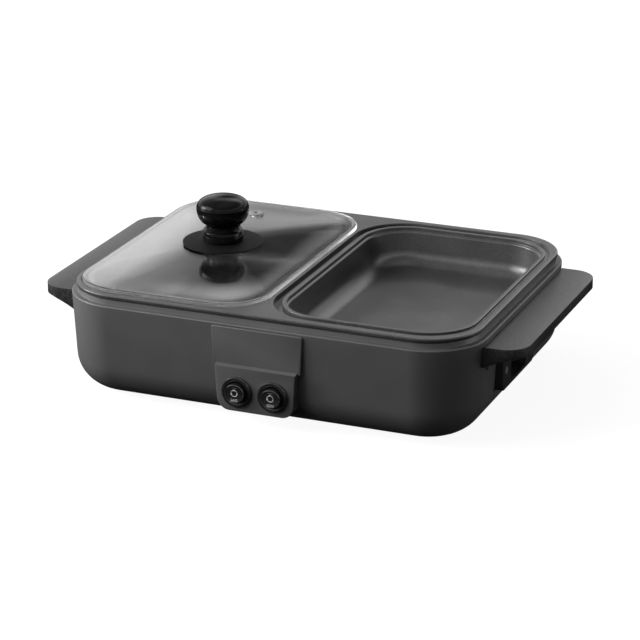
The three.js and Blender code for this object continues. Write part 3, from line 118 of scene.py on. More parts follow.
class PanSizes(bpy.types.PropertyGroup):
    half_length: span("Half length", 158, "Half the rim's length")
    half_depth: span("Half depth", 124.5, "Half the rim's depth")
    corner: span("Corner", 41.5, "Rim corner radius")
    rim_top: span("Rim top", 84, "Rim above the table")
    rim_bottom: span("Rim underside", 80.7, "Underside of the rim above the table")
    wall: span("Wall", 2.6, "Cast wall thickness")
    pot_x: span("Pot middle", -80.25, "Middle of the hot pot well")
    pot_floor: span("Pot floor", 33, "Hot pot floor above the table")
    pot_fillet: span("Pot fillet", 16, "Radius between the hot pot's wall and floor")
    seat_depth: span("Lid seat", 2.3, "Depth of the lid seat below the rim")
    grill_x: span("Grill middle", 77.1, "Middle of the grill well")
    grill_floor: span("Grill floor", 55.5, "Grill floor above the table")
    grill_fillet: span("Grill fillet", 11, "Radius between the grill's wall and floor")
    channel_depth: span("Channel depth", 1.8, "Depth of the channel at the right side")
    channel_fall: span("Channel fall", 3, "Extra depth of the channel at the divider")


class LidSizes(bpy.types.PropertyGroup):
    half_length: span("Half length", 74.25, "Half the glass's length")
    half_depth: span("Half depth", 117.5, "Half the glass's depth")
    corner: span("Corner", 36, "Plan corner radius of the glass")
    underside: span("Underside", 82, "Underside of the glass's edge above the table")
    thickness: span("Thickness", 4, "Glass thickness")
    crown: span("Crown", 5, "Rise from the edge to the middle")
    disc_radius: span("Disc radius", 30.8, "Radius of the disc under the knob")


class PanelSizes(bpy.types.PropertyGroup):
    middle: span("Middle", 3, "Middle of the control panel")
    plate_half: span("Plate half width", 35.3, "Half the upper plate's width")
    block_half: span("Block half width", 31.4, "Half the lower block's width")
    plate_front: span("Plate front", 129.3, "Front of the upper plate, from the middle")
    block_front: span("Block front", 132.8, "Front of the lower block, from the middle")
    switch_height: span("Switch height", 27.5, "Switch axes above the table")
    switch_pitch: span("Switch pitch", 28, "Distance between the switch axes")
    bezel_radius: span("Bezel radius", 11.6, "Radius of a switch bezel")


class HandleSizes(bpy.types.PropertyGroup):
    reach: span("Reach", 190, "Outer edge of a handle, from the middle")
    half_depth: span("Half depth", 92.5, "Half a handle's length along the wall")
    corner: span("Corner", 18, "Plan corner radius of a handle")
    top: span("Top", 72, "Top of a handle above the table")
    root_thickness: span("Root thickness", 15.5, "Thickness at the wall")
    edge_thickness: span("Edge thickness", 7.6, "Thickness at the outer edge")


class CookerFinish(bpy.types.PropertyGroup):
    housing: tint("Housing", "#434344", "Moulded tray and control panel")
    handle: tint("Handles", "#29292a", "Moulded handles")
    coating: tint("Coating", "#333334", "Non-stick coating of the double pan")
    knob: tint("Knob", "#0b0b0c", "Polished knob")
    black: tint("Black mouldings", "#1a1a1b", "Switches, base cover and socket")
    marks: tint("Marks", "#d2d2d0", "Printed marks on the rockers")
    wall_texture: span("Wall texture", 0.7, "Spacing of the moulded wall texture")
    bump: FloatProperty(name="Texture strength", description="Strength of the fine surface textures",
                        default=0.12, min=0, max=1, subtype="FACTOR")
    facets: IntProperty(name="Edge facets", description="Facets on the pan's broken edges", default=3,
                        min=1, max=6)


# Shaping


def let_go():
    """Leaves edit mode with nothing selected."""
    if bpy.context.object and bpy.context.object.mode != "OBJECT":
        bpy.ops.object.mode_set(mode="OBJECT")
    bpy.ops.object.select_all(action="DESELECT")


def take(piece, mode="OBJECT"):
    """Makes one piece the selected and active one, open for shaping if asked."""
    let_go()
    piece.select_set(True)
    bpy.context.view_layer.objects.active = piece
    bpy.ops.object.mode_set(mode=mode)
    return piece


def clear_away(*pieces):
    """Deletes pieces that have done their work."""
    for piece in pieces:
        take(piece)
        bpy.ops.object.delete()


def pick_all():
    """Selects all of the open piece."""
    bpy.ops.mesh.select_all(action="SELECT")


def pick(kind, test):
    """Selects the corners, edges or faces of the open piece whose place and direction pass a test."""
    bpy.ops.mesh.select_mode(type=kind)
    bpy.ops.mesh.select_all(action="DESELECT")
    form = bmesh.from_edit_mesh(bpy.context.object.data)
    form.normal_update()
    if kind == "FACE":
        found = [f for f in form.faces if test(f.calc_center_median(), f.normal)]
    elif kind == "EDGE":
        found = [e for e in form.edges if test((e.verts[0].co + e.verts[1].co) / 2,
                                               (e.verts[1].co - e.verts[0].co).normalized())]
    else:
        found = [v for v in form.verts if test(v.co, v.normal)]
    for element in found:
        element.select_set(True)
    form.select_flush_mode()
    bmesh.update_edit_mesh(bpy.context.object.data)
    if not found:
        raise RuntimeError(f"nothing to select on {bpy.context.object.name}")


def faces_up(place, normal):
    return normal.z > LEVEL


def faces_down(place, normal):
    return normal.z < -LEVEL


def move(x, y, z):
    """Moves what is selected on the open piece."""
    bpy.ops.transform.translate(value=(x, y, z))


def raise_on(rise):
    """Extrudes the selected end face along Z."""
    bpy.ops.mesh.extrude_region_move(TRANSFORM_OT_translate={"value": (0, 0, rise)})


def round_off(width, facets):
    """Bevels the selected edges of the open piece."""
    bpy.ops.mesh.bevel(offset=width, segments=facets, affect="EDGES", clamp_overlap=False)


def placed(name):
    """Names the new primitive, puts its place and scale into its mesh and opens it."""
    piece = bpy.context.object
    piece.name = piece.data.name = name
    bpy.ops.object.transform_apply(location=True, rotation=True, scale=True)
    bpy.ops.object.mode_set(mode="EDIT")
    return piece


def block(name, low, high):
    """A straight block between two corners."""
    let_go()
    low, high = Vector(low), Vector(high)
    bpy.ops.mesh.primitive_cube_add(size=1, location=(low + high) / 2, scale=high - low)
    return placed(name)


def rounded_block(name, half_x, half_y, corner, low, high, x=0.0, y=0.0, facets=CORNER_FACETS):
    """A block with rounded plan corners between two heights."""
    piece = block(name, (x - half_x, y - half_y, low), (x + half_x, y + half_y, high))
    pick("EDGE", lambda place, along: abs(along.z) > ALONG)
    round_off(corner, facets)
    return piece


def step(inset, rise):
    """Takes the selected end face one level on, in by inset and up by rise."""
    if inset > TINY:
        bpy.ops.mesh.inset(thickness=inset, depth=0, use_even_offset=True)
        if abs(rise) > TINY:
            move(0, 0, rise)
    else:
        raise_on(rise)


def follow(levels):
    """Takes the selected end face through a list of (inset, height) levels; the first is where it is."""
    for (inset, height), (next_inset, next_height) in zip(levels, levels[1:]):
        step(next_inset - inset, next_height - height)


def quarter(inset, height, radius, facets, way=-1):
    """Levels of a quarter turn from an upright wall over to a level face, going down or up."""
    turns = [math.pi / 2 * k / facets for k in range(1, facets + 1)]
    return [(inset + radius * (1 - math.cos(t)), height + way * radius * math.sin(t)) for t in turns]


def quarter_over(inset, height, radius, facets=EDGE_FACETS):
    """Levels of a quarter turn from a level face over to a wall that goes down."""
    turns = [math.pi / 2 * k / facets for k in range(1, facets + 1)]
    return [(inset + radius * math.sin(t), height - radius * (1 - math.cos(t))) for t in turns]


def leaning(inset, height, top, floor, fillet, lean, grow=0.0):
    """Levels down a wall that leans in by lean between top and floor, and through its fillet."""
    slope = lean / (top - floor)
    turn = floor + fillet
    levels = [(inset + slope * (height - turn), turn)]
    for further, level in quarter(0, turn, fillet + grow, FILLET_FACETS):
        levels.append((inset + further + slope * (height - level), level))
    return levels


def plate(name, half_x, half_y, corner, height, x=0.0):
    """A flat rounded outline facing down, from which a hollow or a shell is carried on."""
    piece = rounded_block(name, half_x, half_y, corner, height, height + MM, x)
    pick("FACE", lambda place, normal: not faces_down(place, normal))
    bpy.ops.mesh.delete(type="FACE")
    pick("FACE", faces_down)
    return piece


def fill_between_rings(height):
    """Fills the flat strips between the open rings that lie at one height of the open piece."""
    bpy.ops.mesh.select_mode(type="EDGE")
    bpy.ops.mesh.select_all(action="DESELECT")
    bpy.ops.mesh.select_non_manifold(extend=False, use_wire=False, use_boundary=True,
                                     use_multi_face=False, use_non_contiguous=False, use_verts=False)
    form = bmesh.from_edit_mesh(bpy.context.object.data)
    for line in form.edges:
        if line.select and abs(line.verts[0].co.z - height) > TINY:
            line.select_set(False)
    bmesh.update_edit_mesh(bpy.context.object.data)
    bpy.ops.mesh.fill(use_beauty=True)


def tilt(angle, centre):
    """Turns the selected corners about a line along Y so that their left end goes down."""
    form = bmesh.from_edit_mesh(bpy.context.object.data)
    leftmost = min((v for v in form.verts if v.select), key=lambda v: v.co.x)
    height = leftmost.co.z
    bpy.ops.transform.rotate(value=angle, orient_axis="Y", center_override=centre)
    if leftmost.co.z > height:
        bpy.ops.transform.rotate(value=-2 * angle, orient_axis="Y", center_override=centre)


def metres(*pairs):
    """Pairs given in millimetres, as pairs in metres."""
    return [(a * MM, b * MM) for a, b in pairs]


def turned(name, profile, x=0.0, y=0.0, sides=ROUND_SIDES):
    """A round piece taken through a list of (radius, height) pairs, lowest first."""
    let_go()
    (r0, z0), (r1, z1) = profile[:2]
    bpy.ops.mesh.primitive_cone_add(vertices=sides, radius1=r0, radius2=r1, depth=z1 - z0,
                                    end_fill_type="NGON", location=(x, y, (z0 + z1) / 2))
    piece = placed(name)
    pick("FACE", lambda place, normal: abs(place.z - z1) < TINY and faces_up(place, normal))
    for (radius, height), (next_radius, next_height) in zip(profile[1:], profile[2:]):
        raise_on(next_height - height)
        share = next_radius / radius
        bpy.ops.transform.resize(value=(share, share, 1), center_override=(x, y, next_height))
    return piece


def eased(points, steps=4):
    """Points on a smooth curve through a list of (radius, height) pairs."""
    ends = [points[0]] + list(points) + [points[-1]]
    smooth = [points[0]]
    for k in range(1, len(ends) - 2):
        a, b, c, d = (Vector(ends[k + j]) for j in (-1, 0, 1, 2))
        for j in range(1, steps + 1):
            t = j / steps
            place = 0.5 * ((2 * b) + (c - a) * t + (2 * a - 5 * b + 4 * c - d) * t ** 2
                           + (3 * b - a - 3 * c + d) * t ** 3)
            smooth.append((place.x, place.y))
    return smooth


def modify(piece, kind, **settings):
    """Adds a modifier with its settings to a piece and applies it."""
    take(piece)
    bpy.ops.object.modifier_add(type=kind)
    modifier = piece.modifiers[-1]
    for key, value in settings.items():
        setattr(modifier, key, value)
    bpy.ops.object.modifier_apply(modifier=modifier.name)


def combine(piece, tools, operation="DIFFERENCE"):
    """Cuts the tools' forms out of a piece, or adds them to it, and clears the tools away."""
    for tool in tools:
        modify(piece, "BOOLEAN", operation=operation, solver="EXACT", object=tool)
        clear_away(tool)
    return take(piece)


def break_edges(piece, width, facets=3, angle=38):
    """Breaks every edge of a piece that is sharper than an angle in degrees."""
    modify(piece, "BEVEL", width=width, segments=facets, limit_method="ANGLE",
           angle_limit=math.radians(angle), miter_outer="MITER_ARC")


def lay(piece, rotation):
    """Turns a finished form about the frame's origin and keeps the turn in its mesh."""
    take(piece)
    piece.rotation_euler = rotation
    bpy.ops.object.transform_apply(location=False, rotation=True, scale=False)


def shift(piece, place):
    """Moves a finished form and keeps the move in its mesh."""
    take(piece)
    piece.location = place
    bpy.ops.object.transform_apply(location=True, rotation=False, scale=False)


def rod(name, profile, rotation, place=(0, 0, 0), sides=SMALL_SIDES):
    """A round piece that lies along X or Y: its profile's heights are then distances along that axis."""
    piece = turned(name, profile, sides=sides)
    lay(piece, rotation)
    shift(piece, place)
    return piece


def copy_of(model, name, place):
    """A copy of a model, with its own mesh, at its place."""
    take(model)
    bpy.ops.object.duplicate(linked=False)
    copy = bpy.context.object
    copy.name = copy.data.name = name
    shift(copy, place)
    return copy


def joined(pieces):
    """Joins several forms into the first."""
    let_go()
    for piece in pieces:
        piece.select_set(True)
    bpy.context.view_layer.objects.active = pieces[0]
    bpy.ops.object.join()
    return pieces[0]


def complete(piece, finish, body, nodes=(), smooth=32):
    """Closes a piece, turns its faces out, puts it in the frame and gives it finish and body."""
    take(piece, "EDIT")
    pick_all()
    bpy.ops.mesh.remove_doubles(threshold=WELD)
    bpy.ops.mesh.normals_make_consistent(inside=False)
    take(piece)
    bpy.ops.object.shade_smooth_by_angle(angle=math.radians(smooth))
    shift(piece, (0, MIDDLE_Y, 0))
    piece.data.materials.clear()
    piece.data.materials.append(finish)
    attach(piece, body)
    if nodes:
        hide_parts(*nodes)
    let_go()
    return piece


# Finishes


def add_node(tree, kind, settings=None, links=None, stops=()):
    """Adds one node with its options, socket values, colour stops and incoming links."""
    made = tree.nodes.new("ShaderNode" + kind)
    for key, value in (settings or {}).items():
        if isinstance(key, int) or key[0].isupper():
            made.inputs[key].default_value = value
        else:
            setattr(made, key, value)
    for socket, source in (links or {}).items():
        tree.links.new(source, made.inputs[socket])
    for k, (place, colour) in enumerate(stops):
        stop = made.color_ramp.elements[k] if k < 2 else made.color_ramp.elements.new(place)
        stop.position = place
        stop.color = colour
    return made


def between(start, end, low, high):
    """Settings of a map range that takes start to low and end to high."""
    return {"From Min": start, "From Max": end, "To Min": low, "To Max": high}


def shade_of(colour, share):
    """A colour made lighter or darker by a share."""
    return tuple(min(part * share, 1) for part in colour[:3]) + (1.0,)


def new_finish(name):
    """An empty material, its tree and object coordinates in it."""
    finish = bpy.data.materials.new(name)
    finish.use_nodes = True
    tree = finish.node_tree
    tree.nodes.clear()
    return finish, tree, add_node(tree, "TexCoord").outputs["Object"]


def surface(tree, settings, links, clear=False):
    """The shader and output of a finish; a clear one lets soft light through to what it covers."""
    shader = add_node(tree, "BsdfPrincipled", settings, links)
    if clear:
        path = add_node(tree, "LightPath")
        passing = add_node(tree, "Math", {"operation": "MAXIMUM"},
                           {0: path.outputs["Is Shadow Ray"], 1: path.outputs["Is Diffuse Ray"]})
        through = add_node(tree, "BsdfTransparent", {"Color": (0.91, 0.91, 0.91, 1.0)})
        shader = add_node(tree, "MixShader", {}, {0: passing.outputs[0], 1: shader.outputs[0],
                                                  2: through.outputs[0]})
    add_node(tree, "OutputMaterial", {}, {"Surface": shader.outputs[0]})


def textured(name, colour, roughness, grain, depth, strength=0.15, cloud=0.05, metallic=0.0, ior=None,
             spread=0.08, specular=0.5, speckle=0.0):
    """A surface with slow clouds in its tone and gloss, and a fine relief; grain and depth in metres."""
    finish, tree, here = new_finish(name)
    clouds = add_node(tree, "TexNoise", {"Scale": 1 / cloud, "Detail": 3.0, "Roughness": 0.55},
                      {"Vector": here})
    fine = add_node(tree, "TexNoise", {"Scale": 1 / grain, "Detail": 2.0, "Roughness": 0.6},
                    {"Vector": here})
    tone = add_node(tree, "MapRange", between(0.3, 0.7, 0.0, 1.0), {"Value": clouds.outputs[0]})
    if speckle:
        fleck = add_node(tree, "MapRange", between(0.35, 0.75, -speckle, speckle),
                         {"Value": fine.outputs[0]})
        tone = add_node(tree, "Math", {"operation": "ADD"}, {0: tone.outputs[0], 1: fleck.outputs[0]})
    paint = add_node(tree, "ValToRGB", {}, {0: tone.outputs[0]},
                     ((0.0, shade_of(colour, 1 - spread)), (1.0, shade_of(colour, 1 + spread))))
    gloss = add_node(tree, "MapRange", between(0.3, 0.7, roughness * 0.92, roughness * 1.08),
                     {"Value": clouds.outputs[0]})
    relief = add_node(tree, "Bump", {"Strength": strength, "Distance": depth},
                      {"Height": fine.outputs[0]})
    settings = {"Metallic": metallic, "Specular IOR Level": specular}
    if ior:
        settings["IOR"] = ior
    surface(tree, settings, {"Base Color": paint.outputs[0], "Roughness": gloss.outputs[0],
                             "Normal": relief.outputs[0]})
    return finish


def clear_glass():
    """Soda-lime glass, tempered: clear, with a film of handling marks that only changes its gloss."""
    finish, tree, here = new_finish("tempered_soda_lime_glass")
    mark_spacing = 35 * MM
    film = add_node(tree, "TexNoise", {"Scale": 1 / mark_spacing, "Detail": 4.0}, {"Vector": here})
    gloss = add_node(tree, "MapRange", between(0.35, 0.75, 0.015, 0.06), {"Value": film.outputs[0]})
    # The pane's edges and holes, whose normals lie level, are ground matt and catch a pale line of light
    side = add_node(tree, "SeparateXYZ", {}, {0: add_node(tree, "TexCoord").outputs["Normal"]})
    level = add_node(tree, "Math", {"operation": "ABSOLUTE"}, {0: side.outputs["Z"]})
    ground = add_node(tree, "MapRange", between(0.9, 0.6, 0.0, 0.55), {"Value": level.outputs[0]})
    matt = add_node(tree, "Math", {"operation": "MAXIMUM"}, {0: gloss.outputs[0], 1: ground.outputs[0]})
    surface(tree, {"Base Color": linear("#ececec"), "IOR": 1.52, "Transmission Weight": 1.0},
            {"Roughness": matt.outputs[0]}, clear=True)
    return finish


def make_finishes():
    """All finishes, by the record's slot names or a name of their own, each named for its real material."""
    look = bpy.context.scene.cooker_finish
    grain = look.wall_texture
    made = {
        # ABS, injection moulded in a spark-eroded mould: a matt charcoal skin with a fine even grain
        "housing_plastic": textured("moulded_abs_charcoal", look.housing, 0.44, grain, 0.05 * MM,
                                    look.bump, ior=1.53, specular=0.3),
        # PBT, injection moulded in a coarser mould: near black with pale flecks of light in its grain,
        # which is drawn coarser than the real one so that it shows
        "handle_plastic": textured("moulded_pbt_handle", look.handle, 0.4, 1.7 * MM, 0.05 * MM,
                                   look.bump, ior=1.55, spread=0.4, speckle=1.1, specular=0.25),
        # PTFE coating sprayed on die-cast aluminium: satin, with the spray's orange peel and faint
        # specks, both drawn coarser than the real ones so that they show
        "pan_coating": textured("sprayed_ptfe_coating", look.coating, 0.32, 1.4 * MM, 0.05 * MM,
                                0.14, cloud=0.03, ior=1.45, spread=0.2, speckle=0.8),
        # Nylon, injection moulded: near black with a low sheen
        "black_plastic": textured("moulded_nylon_black", look.black, 0.35, grain, 0.03 * MM,
                                  look.bump, ior=1.53),
        # Phenolic resin, compression moulded and polished: deep black with sharp highlights
        "knob_plastic": textured("polished_phenolic_black", look.knob, 0.14, 3 * MM, 0.01 * MM, 0.05,
                                 ior=1.5, specular=0.06),
        # The same resin left as moulded for the disc: black and matt, so that it mirrors next to nothing
        "disc_plastic": textured("moulded_phenolic_black", look.knob, 0.62, grain, 0.03 * MM, look.bump,
                                 ior=1.5, specular=0.06),
        # Polycarbonate, injection moulded: black with a soft gloss
        "switch_plastic": textured("moulded_polycarbonate_black", look.black, 0.24, grain, 0.02 * MM,
                                   0.08, ior=1.58),
        # Rubber, compression moulded: matt, with a coarser skin
        "rubber": textured("moulded_rubber", linear("#1d1d1d"), 0.8, 0.9 * MM, 0.06 * MM, 0.3, ior=1.52),
        # Steel, zinc plated: bright grey with soft clouds where the bath left them
        "steel": textured("zinc_plated_steel", linear("#a9abad"), 0.34, 0.8 * MM, 0.02 * MM, 0.1,
                          metallic=1.0, cloud=0.012),
        # Stainless steel tube, annealed by its own heat: brown-grey clouds
        "heater_steel": textured("heat_tinted_steel", linear("#6f6a64"), 0.45, 0.9 * MM, 0.02 * MM, 0.15,
                                 metallic=1.0, cloud=0.02, spread=0.3),
        # Brass, turned: warm and bright
        "brass": textured("turned_brass", linear("#c9a75a"), 0.28, 0.6 * MM, 0.01 * MM, 0.1,
                          metallic=1.0, cloud=0.01),
        # Steatite, pressed and fired: chalky off-white
        "ceramic": textured("fired_steatite", linear("#e0dbd0"), 0.62, 0.8 * MM, 0.04 * MM, 0.2),
        # Silicone, moulded: dark, soft sheen
        "silicone": textured("moulded_silicone", linear("#2a2a2b"), 0.6, 0.8 * MM, 0.03 * MM, 0.15,
                             ior=1.43),
        # Silicone, moulded: a cloudy mid grey that stays quiet against the glass round it
        "vent_silicone": textured("moulded_clear_silicone", linear("#6a6c6c"), 0.4, 0.8 * MM, 0.03 * MM,
                                  0.12, ior=1.43),
        "glass": clear_glass(),
        # Ink, pad printed on the rockers: off-white with thin worn spots
        "marks": textured("pad_printed_ink", look.marks, 0.5, 0.5 * MM, 0.01 * MM, 0.1, cloud=0.004,
                          spread=0.06),
    }
    # Wires in silicone sleeves: coloured, soft sheen
    for hue, shade in (("red", "#8e2f2a"), ("blue", "#2f4a80"), ("green", "#4d7a3a")):
        made[f"wire_{hue}"] = textured(f"sleeved_wire_{hue}", linear(shade), 0.5, 0.7 * MM, 0.02 * MM, 0.15)
    return made


FINISHES = {}


# Pieces


def tray_form(name, grow=0.0):
    """The tray's outside from the bottom to the ledge, as a closed form, larger or smaller all round."""
    size = bpy.context.scene.cooker_housing
    band = 1.5 * MM                   # depth of the upright band under the ledge
    start = size.ledge - band
    piece = rounded_block(name, size.half_length + grow, size.half_depth + grow, size.corner + grow,
                          start, size.ledge - LEDGE_EDGE)
    pick("FACE", faces_down)
    follow([(0, start)] + leaning(0, start, size.ledge, size.bottom, size.fillet, size.lean, grow))
    return piece


def wall_seat(rise=0.0):
    """The tray's outside with the clearance round it and a rise on top, cut from what lies on the wall."""
    seat = tray_form("seat", CLEARANCE)
    if rise:
        pick("FACE", faces_up)
        raise_on(rise)
    return seat


class OBJECT_OT_cooker_housing(bpy.types.Operator):
    """Housing tray with its ledge, collar, bottom opening, windows and dimple"""
    bl_idname = "object.cooker_housing"
    bl_label = "Housing"

    def execute(self, context):
        size = context.scene.cooker_housing
        piece = tray_form("housing_tray")
        pick("FACE", faces_up)
        follow(self.collar_levels(size))
        bpy.ops.mesh.delete(type="FACE")
        modify(piece, "SOLIDIFY", thickness=size.wall, offset=-1, use_even_offset=True)
        lip_width, lip_raise, lip_top = 4 * MM, 0.3 * MM, 7.3 * MM
        lip_plan = [value + CLEARANCE + lip_width for value in COVER_PLAN]
        lip = rounded_block("lip", *lip_plan, size.bottom + lip_raise, lip_top)
        combine(piece, [lip], "UNION")
        combine(piece, self.openings(context.scene.cooker_panel))
        complete(piece, FINISHES["housing_plastic"], "base", ["housing"])
        return {"FINISHED"}

    def collar_levels(self, size):
        """Levels over the ledge's edge, across the ledge and up the collar."""
        ledge, top, setback = size.ledge, size.collar_top, size.collar_setback
        outer_strip, inner_strip = 0.5 * MM, 0.4 * MM     # level strips that keep the ledge's shading flat
        cove, brow = 0.5 * MM, 0.4 * MM                   # roundings at the collar's foot and top
        root = setback - cove
        levels = [(0, ledge - LEDGE_EDGE)]
        levels += quarter(0, ledge - LEDGE_EDGE, LEDGE_EDGE, EDGE_FACETS, 1)
        levels += [(LEDGE_EDGE + outer_strip, ledge), (root - inner_strip, ledge), (root, ledge)]
        levels += [(root + cove * (1 - MIDWAY), ledge + cove * MIDWAY), (setback, ledge + cove)]
        levels += [(setback, top - brow), (setback + brow * MIDWAY, top - brow * MIDWAY)]
        levels += [(setback + brow, top)]
        return levels

    def openings(self, panel):
        """Forms of the cover's pocket, the bottom opening, the switch window, the inlet and the dimple."""
        below, inside, outside = -5 * MM, 20 * MM, 170 * MM
        pocket_plan = [value + CLEARANCE for value in COVER_PLAN]
        pocket = rounded_block("pocket", *pocket_plan, below, COVER_TOP + CLEARANCE)
        opening = rounded_block("opening", *OPENING_PLAN, below, inside)
        half, above_axis = 26.3 * MM, 12.3 * MM
        front, back = -140 * MM, -102 * MM
        window = block("window", (panel.middle - half, front, panel.switch_height - SWITCH_BORE),
                       (panel.middle + half, back, panel.switch_height + above_axis))
        width = INLET_HALF + CLEARANCE
        inlet = block("inlet", (INLET_BACK, INLET_Y - width, INLET_LOW - CLEARANCE),
                      (outside, INLET_Y + width, INLET_HIGH + CLEARANCE))
        dimple_y, dimple_z = -82 * MM, 53.5 * MM
        dimple = rod("dimple", metres((2.3, 158.7), (2.6, 159.2), (2.6, 170)), TO_RIGHT,
                     (0, dimple_y, dimple_z))
        return [pocket, opening, window, inlet, dimple]


# Outlines of the double pan: half length, half depth and corner radius in millimetres
PAN_PLANS = {
    "lid_seat": (74.85, 118.1, 36.6),
    "channel": (78.4, 118, 40.9),
    "lip": (73.7, 112.1, 37.5),
    "pot_shell": (68.5, 111.8, 32.3),
    "grill_shell": (71.6, 110, 35.4),
}
GUARD = 0.6 * MM                  # level strip round each hollow that keeps the pan's big faces flat
RIM_EDGE = 0.9 * MM               # rounding of the rim's outer edge
RIB_SETBACK = 3.5 * MM            # from the rim's edge in to the rib below it
RIB_DEPTH = 2.5 * MM
SEAT_WIDTH = 8.6 * MM             # width of the lid's seat round the hot pot well
MOUTH = 1.2 * MM                  # rounding between the seat and the well's wall
POT_LEAN = 5 * MM                 # how far each well's wall leans in down to its floor
GRILL_LEAN = 4 * MM
CHANNEL_OFFSET = 1.3 * MM         # how far the channel's middle lies towards the divider
LIP_WIDTH = 3 * MM
LIP_DEPTH = 3.1 * MM              # upright height of the lip inside the grill well
LIP_FOOT = 1.5 * MM               # rounding between the lip's inside and the leaning wall
FLOOR_STRIP = 1.5 * MM            # level strip round each floor that keeps its shading flat
PAN_EDGE = 0.5 * MM               # rounding of the pan's sharp edges


def pan_plan(name, guard=GUARD):
    """One of the pan's outlines in metres, with the level strip round it."""
    return [value * MM + guard for value in PAN_PLANS[name]]


class OBJECT_OT_cooker_pan(bpy.types.Operator):
    """Double pan: rim, hot pot well with lid seat, grill well with raised lip and sloping channel"""
    bl_idname = "object.cooker_pan"
    bl_label = "Double Pan"

    def execute(self, context):
        size = context.scene.cooker_pan
        rib_low = size.rim_bottom - RIB_DEPTH
        seat = size.rim_top - size.seat_depth
        upright = size.rim_top - LIP_DEPTH
        rim = self.rim(size, rib_low)
        pot = self.pot(size, seat)
        grill = self.grill(size, upright)
        pot_shell = self.shell("pot_shell", size.pot_x, rib_low, seat, size.pot_floor - size.wall,
                               size.pot_fillet + size.wall, POT_LEAN)
        grill_shell = self.shell("grill_shell", size.grill_x, rib_low, upright - LIP_FOOT,
                                 size.grill_floor - size.wall, size.grill_fillet + size.wall, GRILL_LEAN)
        piece = joined([rim, pot, grill, pot_shell, grill_shell])
        take(piece, "EDIT")
        pick_all()
        bpy.ops.mesh.remove_doubles(threshold=WELD)
        for height in (size.rim_top, rib_low):
            fill_between_rings(height)
        pick_all()
        bpy.ops.mesh.normals_make_consistent(inside=False)
        break_edges(piece, PAN_EDGE, context.scene.cooker_finish.facets)
        complete(piece, FINISHES["pan_coating"], "base", ["double_pan"])
        return {"FINISHED"}

    def rim(self, size, rib_low):
        """The rim's outside, with the rib below it that lies inside the housing's collar."""
        top, low = size.rim_top, size.rim_bottom
        rim = rounded_block("double_pan_body", size.half_length, size.half_depth, size.corner,
                            low + RIM_EDGE, top - RIM_EDGE)
        pick("FACE", faces_up)
        follow([(0, top - RIM_EDGE)] + quarter(0, top - RIM_EDGE, RIM_EDGE, EDGE_FACETS, 1)
               + [(RIM_EDGE + GUARD, top)])
        bpy.ops.mesh.delete(type="FACE")
        pick("FACE", faces_down)
        follow([(0, low + RIM_EDGE)] + quarter(0, low + RIM_EDGE, RIM_EDGE, EDGE_FACETS)
               + [(RIB_SETBACK, low), (RIB_SETBACK, rib_low), (RIB_SETBACK + GUARD, rib_low)])
        bpy.ops.mesh.delete(type="FACE")
        return rim

    def pot(self, size, seat):
        """Hot pot well: lid seat, rounded mouth, leaning wall, fillet and floor."""
        top = size.rim_top
        pot = plate("pot", *pan_plan("lid_seat"), top, size.pot_x)
        ring = GUARD + SEAT_WIDTH
        levels = [(0, top), (GUARD, top), (GUARD, seat), (ring - MOUTH, seat)]
        levels += quarter_over(ring - MOUTH, seat, MOUTH)
        levels += leaning(ring, seat, seat, size.pot_floor, size.pot_fillet, POT_LEAN)
        levels.append((levels[-1][0] + FLOOR_STRIP, size.pot_floor))
        follow(levels)
        return pot

    def grill(self, size, upright):
        """Channel round the grill, then the lip and the grill well inside it."""
        top = size.rim_top
        floor = top - size.channel_depth
        middle = size.grill_x - CHANNEL_OFFSET
        channel = plate("channel", *pan_plan("channel"), top, middle)
        follow([(0, top), (GUARD, top), (GUARD, floor)])
        bpy.ops.mesh.delete(type="FACE")
        island = rounded_block("island", *pan_plan("lip", 0), floor, top, size.grill_x)
        pick("FACE", faces_down)
        bpy.ops.mesh.delete(type="FACE")
        pick("FACE", faces_up)
        levels = [(0, top), (LIP_WIDTH, top), (LIP_WIDTH, upright)]
        levels += quarter_over(LIP_WIDTH, upright, LIP_FOOT, EDGE_FACETS + 1)
        levels += leaning(LIP_WIDTH + LIP_FOOT, upright, upright, size.grill_floor, size.grill_fillet,
                          GRILL_LEAN)
        levels.append((levels[-1][0] + FLOOR_STRIP, size.grill_floor))
        follow(levels)
        joined([island, channel])
        take(island, "EDIT")
        pick("EDGE", lambda place, along: abs(place.z - floor) < TINY)
        bpy.ops.mesh.fill(use_beauty=True)
        pick("VERT", lambda place, normal: abs(place.z - floor) < TINY)
        half = PAN_PLANS["channel"][0] * MM
        tilt(math.atan2(size.channel_fall, 2 * half), (middle + half, 0, floor))
        return island

    def shell(self, name, x, height, top, floor, fillet, lean):
        """Outside of a well below the rim: leaning wall, fillet and underside."""
        shell = plate(name, *pan_plan(name), height, x)
        follow([(0, height), (GUARD, height)] + leaning(GUARD, height, top, floor, fillet, lean))
        return shell


